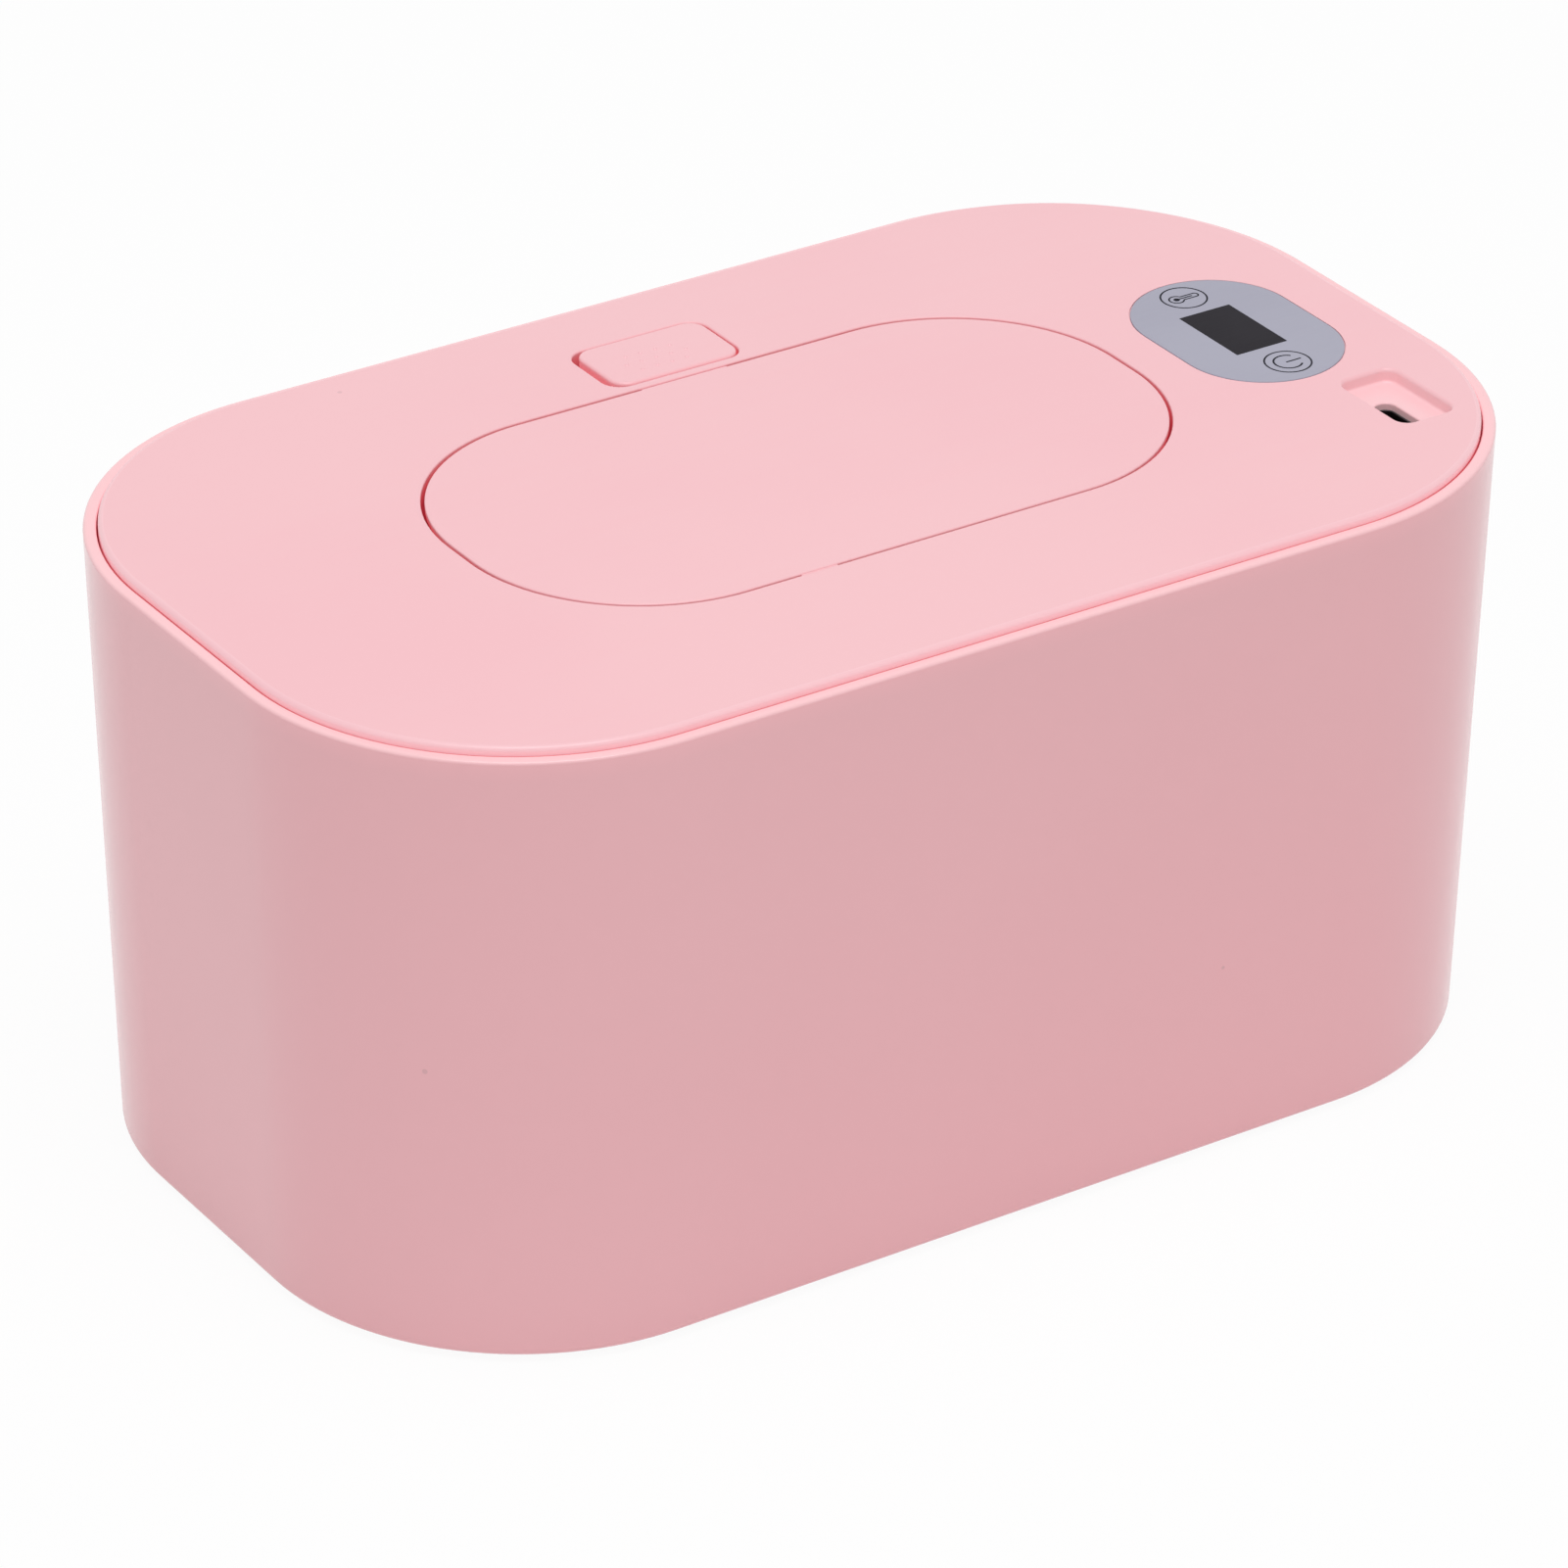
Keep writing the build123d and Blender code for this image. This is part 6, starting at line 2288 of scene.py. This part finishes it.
@dataclass
class BoardAndSocket:
    """The control board with its parts, and the USB socket that stands on it.

    Attributes:
        shell_outline: Outline of the socket's steel shell.
        shell_wall: Thickness of the steel.
        cavity_floor: Height of the floor inside the socket.
        socket_top: Height of the socket's mouth.
        tongue: Size of the tongue across and along.
        tongue_top: Height of the tongue's end.
        contact: Width and rise of a contact on the tongue.
        contact_ends: How far a contact ends from the cavity's floor and from the tongue's end.
        contact_pitch: Distance between contacts.
        contact_number: How many contacts each face has.
        floor_inset: How far in the socket's flat floor begins.
        shell_rounds: Radii along the steel shell's profile.
        tongue_round: Radius of the tongue's edges.
        contact_sink: How far a contact reaches into the tongue.
    """

    shell_outline: Outline = Outline(3.16, 8.94, 1.53, (82.0, -31.8), 8)
    shell_wall: float = 0.3
    cavity_floor: float = 88.4
    socket_top: float = 93.7
    tongue: tuple[float, float] = (0.7, 6.7)
    tongue_top: float = 92.9
    contact: tuple[float, float] = (0.3, 0.03)
    contact_ends: tuple[float, float] = (1.6, 0.6)
    contact_pitch: float = 0.5
    contact_number: int = 12
    floor_inset: float = 1.0
    shell_rounds: tuple[float, float, float, float] = (0.1, 0.12, 0.1, 0.1)
    tongue_round: float = 0.2
    contact_sink: float = 0.05

    def socket(self) -> Shell:
        """Carries the steel shell's profile round its outline: up outside and down inside.

        Returns:
            The shell, with a floor inside and an underside.
        """
        low, floor, top = LEVEL.board_top, self.cavity_floor, self.socket_top
        wall = self.shell_wall
        outer = [(self.floor_inset, low), (0.0, low), (0.0, top)]
        inner = [(wall, top), (wall, floor), (self.floor_inset, floor)]
        made = Shell().band(self.shell_outline, bend(outer + inner, self.shell_rounds, 3))
        middle = [self.shell_outline.ring(self.floor_inset)]
        return made.top(middle, floor).underside(middle, low)

    def blade(self) -> Shell:
        """Makes the tongue, with round edges at its end.

        Returns:
            The tongue.
        """
        (across, along), radius = self.tongue, self.tongue_round
        outline = Outline(across, along, radius, self.shell_outline.centre, 3)
        profile = slab_edge(across / 2, self.cavity_floor, self.tongue_top, (0.0, radius), 4)
        return Shell().band(outline, profile)

    def contacts(self) -> Shell:
        """Makes a row of flat contacts on each face of the tongue.

        Returns:
            All the contacts.
        """
        (width, rise), (foot, head) = self.contact, self.contact_ends
        centre_x, centre_y = self.shell_outline.centre
        reach = (self.tongue[0] + rise) / 2 - self.contact_sink
        ring = block(rise + 2 * self.contact_sink, width)
        one = Shell().prism(Facing.Z, [ring], self.cavity_floor + foot, self.tongue_top - head)
        number = self.contact_number
        along = centre_y + self.contact_pitch * (np.arange(number) - (number - 1) / 2)
        across = np.repeat([centre_x - reach, centre_x + reach], number)
        return one.repeated(standing(np.column_stack([across, np.tile(along, 2)])))

    def build(self) -> None:
        """Makes and dresses the socket, and dresses the board and its parts."""
        self.socket().piece(
            "usb_shell", [SOCKET_STEEL], Body.COVER, "socket_steel", ["usb_socket"]
        )
        self.blade().piece(
            "usb_blade", [BLACK_PLASTIC], Body.COVER, "component_black", ["usb_tongue"]
        )
        self.contacts().piece("usb_contacts", [CONTACT_GOLD], Body.COVER, "socket_steel")
        dress({"control_board": BOARD, "board_components": BLACK_PLASTIC})


@dataclass
class Heater:
    """The heater under the cover's floor: plate, film, blanket, sensor, fuse and leads."""

    def build(self) -> None:
        """Dresses the heater's nodes."""
        dress({
            "heater_plate": HEATER_ALUMINIUM,
            "heating_film": HEATING_FILM,
            "heater_insulation": CASE_FOAM,
            "thermistor": EPOXY,
            "thermal_fuse": CERAMIC,
            "heater_leads": RED_JACKET,
            "sensor_leads": WHITE_JACKET,
        })


@dataclass
class Fasteners:
    """Pan-head screws with crossed recesses, all driven from below.

    Attributes:
        head_radius: Radius of a head.
        head_height: Height of a head.
        face_radius: Radius of the flat on the head.
        shank_radius: Radius of the thread.
        cross: Width and length of a recess's arm, and its depth.
        point: Length of the point.
        rounds: Radii along a screw's profile.
        lengths: Thread lengths of the cover's, the plate's and the board's screws.
    """

    head_radius: float = 2.0
    head_height: float = 1.1
    face_radius: float = 1.3
    shank_radius: float = 1.15
    cross: tuple[float, float, float] = (0.55, 2.2, 0.7)
    point: float = 1.0
    rounds: tuple[float, float, float, float] = (0.55, 0.1, 0.1, 0.2)
    lengths: tuple[float, float, float] = (8.9, 4.3, 5.9)

    def screw(self, seat: float, length: float) -> Shell:
        """Makes one screw, with its head's upper face on the seat and its point above.

        Args:
            seat: Height of the face that it clamps.
            length: Length of its thread.

        Returns:
            The screw.
        """
        radius, outline = self.head_radius, circle(self.head_radius, steps=6)
        low, tip, wall = seat - self.head_height, seat + length, radius - self.shank_radius
        face = radius - self.face_radius
        head = [(face, low), (0.0, low), (0.0, seat), (wall, seat)]
        profile = bend([*head, (wall, tip - self.point), (radius, tip)], self.rounds, 4)
        width, across, depth = self.cross
        a, b = width / 2, across / 2
        quarter = np.array([[b, -a], [b, a], [a, a]])
        turned = [quarter @ np.linalg.matrix_power([[0, 1], [-1, 0]], turn) for turn in range(4)]
        cross = np.concatenate(turned)
        made = Shell().band(outline, profile).underside([outline.ring(face), cross], low)
        return made.shaft(cross, low, low + depth).underside([cross], low + depth)

    def build(self) -> None:
        """Makes and dresses the three sets of screws."""
        sets = (
            ("cover_screws", BOSS_PLACES, LEVEL.cover_bottom + self.head_height),
            ("plate_screws", PLATE_SCREW_PLACES, LEVEL.plate_bottom),
            ("board_screws", POST_PLACES, LEVEL.board_bottom),
        )
        for (node, places, seat), length in zip(sets, self.lengths):
            screws = self.screw(seat, length).repeated(standing(places))
            screws.piece(f"{node}_driven", [SCREW_STEEL], Body.COVER, "screw_steel", [node])


# ---------------------------------------------------------------- studio


@dataclass
class Studio:
    """The floor, the light and the camera.

    Attributes:
        azimuth: Camera's way round from looking along +Y, in degrees.
        elevation: Camera's height above the horizon, in degrees.
        roll: Camera's turn about its own axis, in degrees.
        distance: Camera's distance from the target, in metres.
        target: Height of the target above the origin, in metres.
        lens: Focal length for a 36 mm sensor.
        shift: Shift of the picture across and up.
        ambience: Strength of the white room's light.
        softbox: Size of the lamp overhead, in metres.
        softbox_place: Place of the lamp, in metres.
        softbox_power: Its power in watts.
        floor_size: Side of the floor, in metres.
        floor_glow: How much of the floor's white is its own, seen by the camera.
    """

    azimuth: float = -33.457
    elevation: float = 28.697
    roll: float = 0.443
    distance: float = 1.154107
    target: float = 0.051
    lens: float = 183.98
    shift: tuple[float, float] = (-0.00821, -0.02752)
    ambience: float = 0.50
    softbox: float = 0.9
    softbox_place: tuple[float, float, float] = (-0.12, -0.28, 1.45)
    softbox_power: float = 10.2
    floor_size: float = 16.0
    floor_glow: float = 0.94

    def camera(self) -> None:
        """Places the camera: its columns are right, up and back, turned by the roll."""
        a, e, r = (math.radians(x) for x in (self.azimuth, self.elevation, self.roll))
        back = Vector((math.sin(a) * math.cos(e), -math.cos(a) * math.cos(e), math.sin(e)))
        right = Vector((math.cos(a), math.sin(a), 0.0))
        up = back.cross(right)
        across = right * math.cos(r) + up * math.sin(r)
        upward = up * math.cos(r) - right * math.sin(r)
        data = bpy.data.cameras.new("camera")
        data.lens, data.sensor_width = self.lens, 36.0
        data.shift_x, data.shift_y = self.shift
        data.clip_start, data.clip_end = 0.05, 60.0
        camera = bpy.data.objects.new("camera", data)
        turn = Matrix((across, upward, back)).transposed().to_4x4()
        place = Vector((0, 0, self.target)) + back * self.distance
        camera.matrix_world = Matrix.Translation(place) @ turn
        bpy.context.scene.collection.objects.link(camera)
        bpy.context.scene.camera = camera

    def seen(self, work: Wiring) -> Socket:
        """Tells the rays that the camera sees by from those that light the object.

        Args:
            work: Lays the nodes.

        Returns:
            1 for a ray from the camera, or through or off something clear or shiny.
        """
        path = work.add("LightPath").outputs
        shiny = work.math("MAXIMUM", path["Is Glossy Ray"], path["Is Transmission Ray"])
        return work.math("MAXIMUM", path["Is Camera Ray"], shiny)

    def room(self) -> None:
        """A white room, which lights the object less than it shows."""
        world = bpy.data.worlds.new("room")
        work = wiring(world)
        gain = work.math("MULTIPLY", self.seen(work), 1.0 - self.ambience)
        strength = work.math("ADD", gain, self.ambience)
        sky = work.add("Background", {"Color": (1.0, 1.0, 1.0, 1.0), "Strength": strength})
        work.show(sky.outputs[0], "OutputWorld")
        bpy.context.scene.world = world

    def floor(self) -> None:
        """A pale floor that takes a shadow, and is nearly white to the camera."""
        half = self.floor_size / 2
        mesh = bpy.data.meshes.new("floor")
        corners = np.column_stack([block(2 * half, 2 * half), np.zeros(4)])
        mesh.from_pydata(corners, [], [(0, 1, 2, 3)])
        made = bpy.data.materials.new("floor_white")
        work = wiring(made)
        matt = work.add("BsdfDiffuse", {"Color": (0.9, 0.9, 0.9, 1.0)}).outputs[0]
        glow = work.add("Emission", {"Color": (1.0, 1.0, 1.0, 1.0), "Strength": 1.0}).outputs[0]
        share = work.math("MULTIPLY", self.seen(work), self.floor_glow)
        work.show(work.add("MixShader", {0: share, 1: matt, 2: glow}).outputs[0])
        mesh.materials.append(made)
        floor = bpy.data.objects.new("floor", mesh)
        bpy.context.scene.collection.objects.link(floor)

    def lamps(self) -> None:
        """One large soft lamp overhead."""
        data = bpy.data.lights.new("softbox", "AREA")
        data.shape, data.size, data.energy = "SQUARE", self.softbox, self.softbox_power
        lamp = bpy.data.objects.new("softbox", data)
        place = Vector(self.softbox_place)
        turn = place.to_track_quat("Z", "Y").to_matrix().to_4x4()
        lamp.matrix_world = Matrix.Translation(place) @ turn
        bpy.context.scene.collection.objects.link(lamp)

    def build(self) -> None:
        """Sets up the whole studio."""
        bpy.context.scene.view_settings.view_transform = "Standard"
        self.camera()
        self.room()
        self.floor()
        self.lamps()


def main() -> None:
    """Builds the warmer's sub-assemblies and the studio."""
    logging.basicConfig(level=logging.INFO, format="%(message)s")
    assemblies = (
        CaseBody(), WipesTank(), CoverShell(), CoverFloor(), FlipLid(),
        ButtonLatch(), ControlPanel(), BoardAndSocket(), Heater(), Fasteners(),
    )
    for assembly in assemblies:
        log.info("building %s", type(assembly).__name__)
        assembly.build()
    Studio().build()


if __name__ == "__main__":
    main()
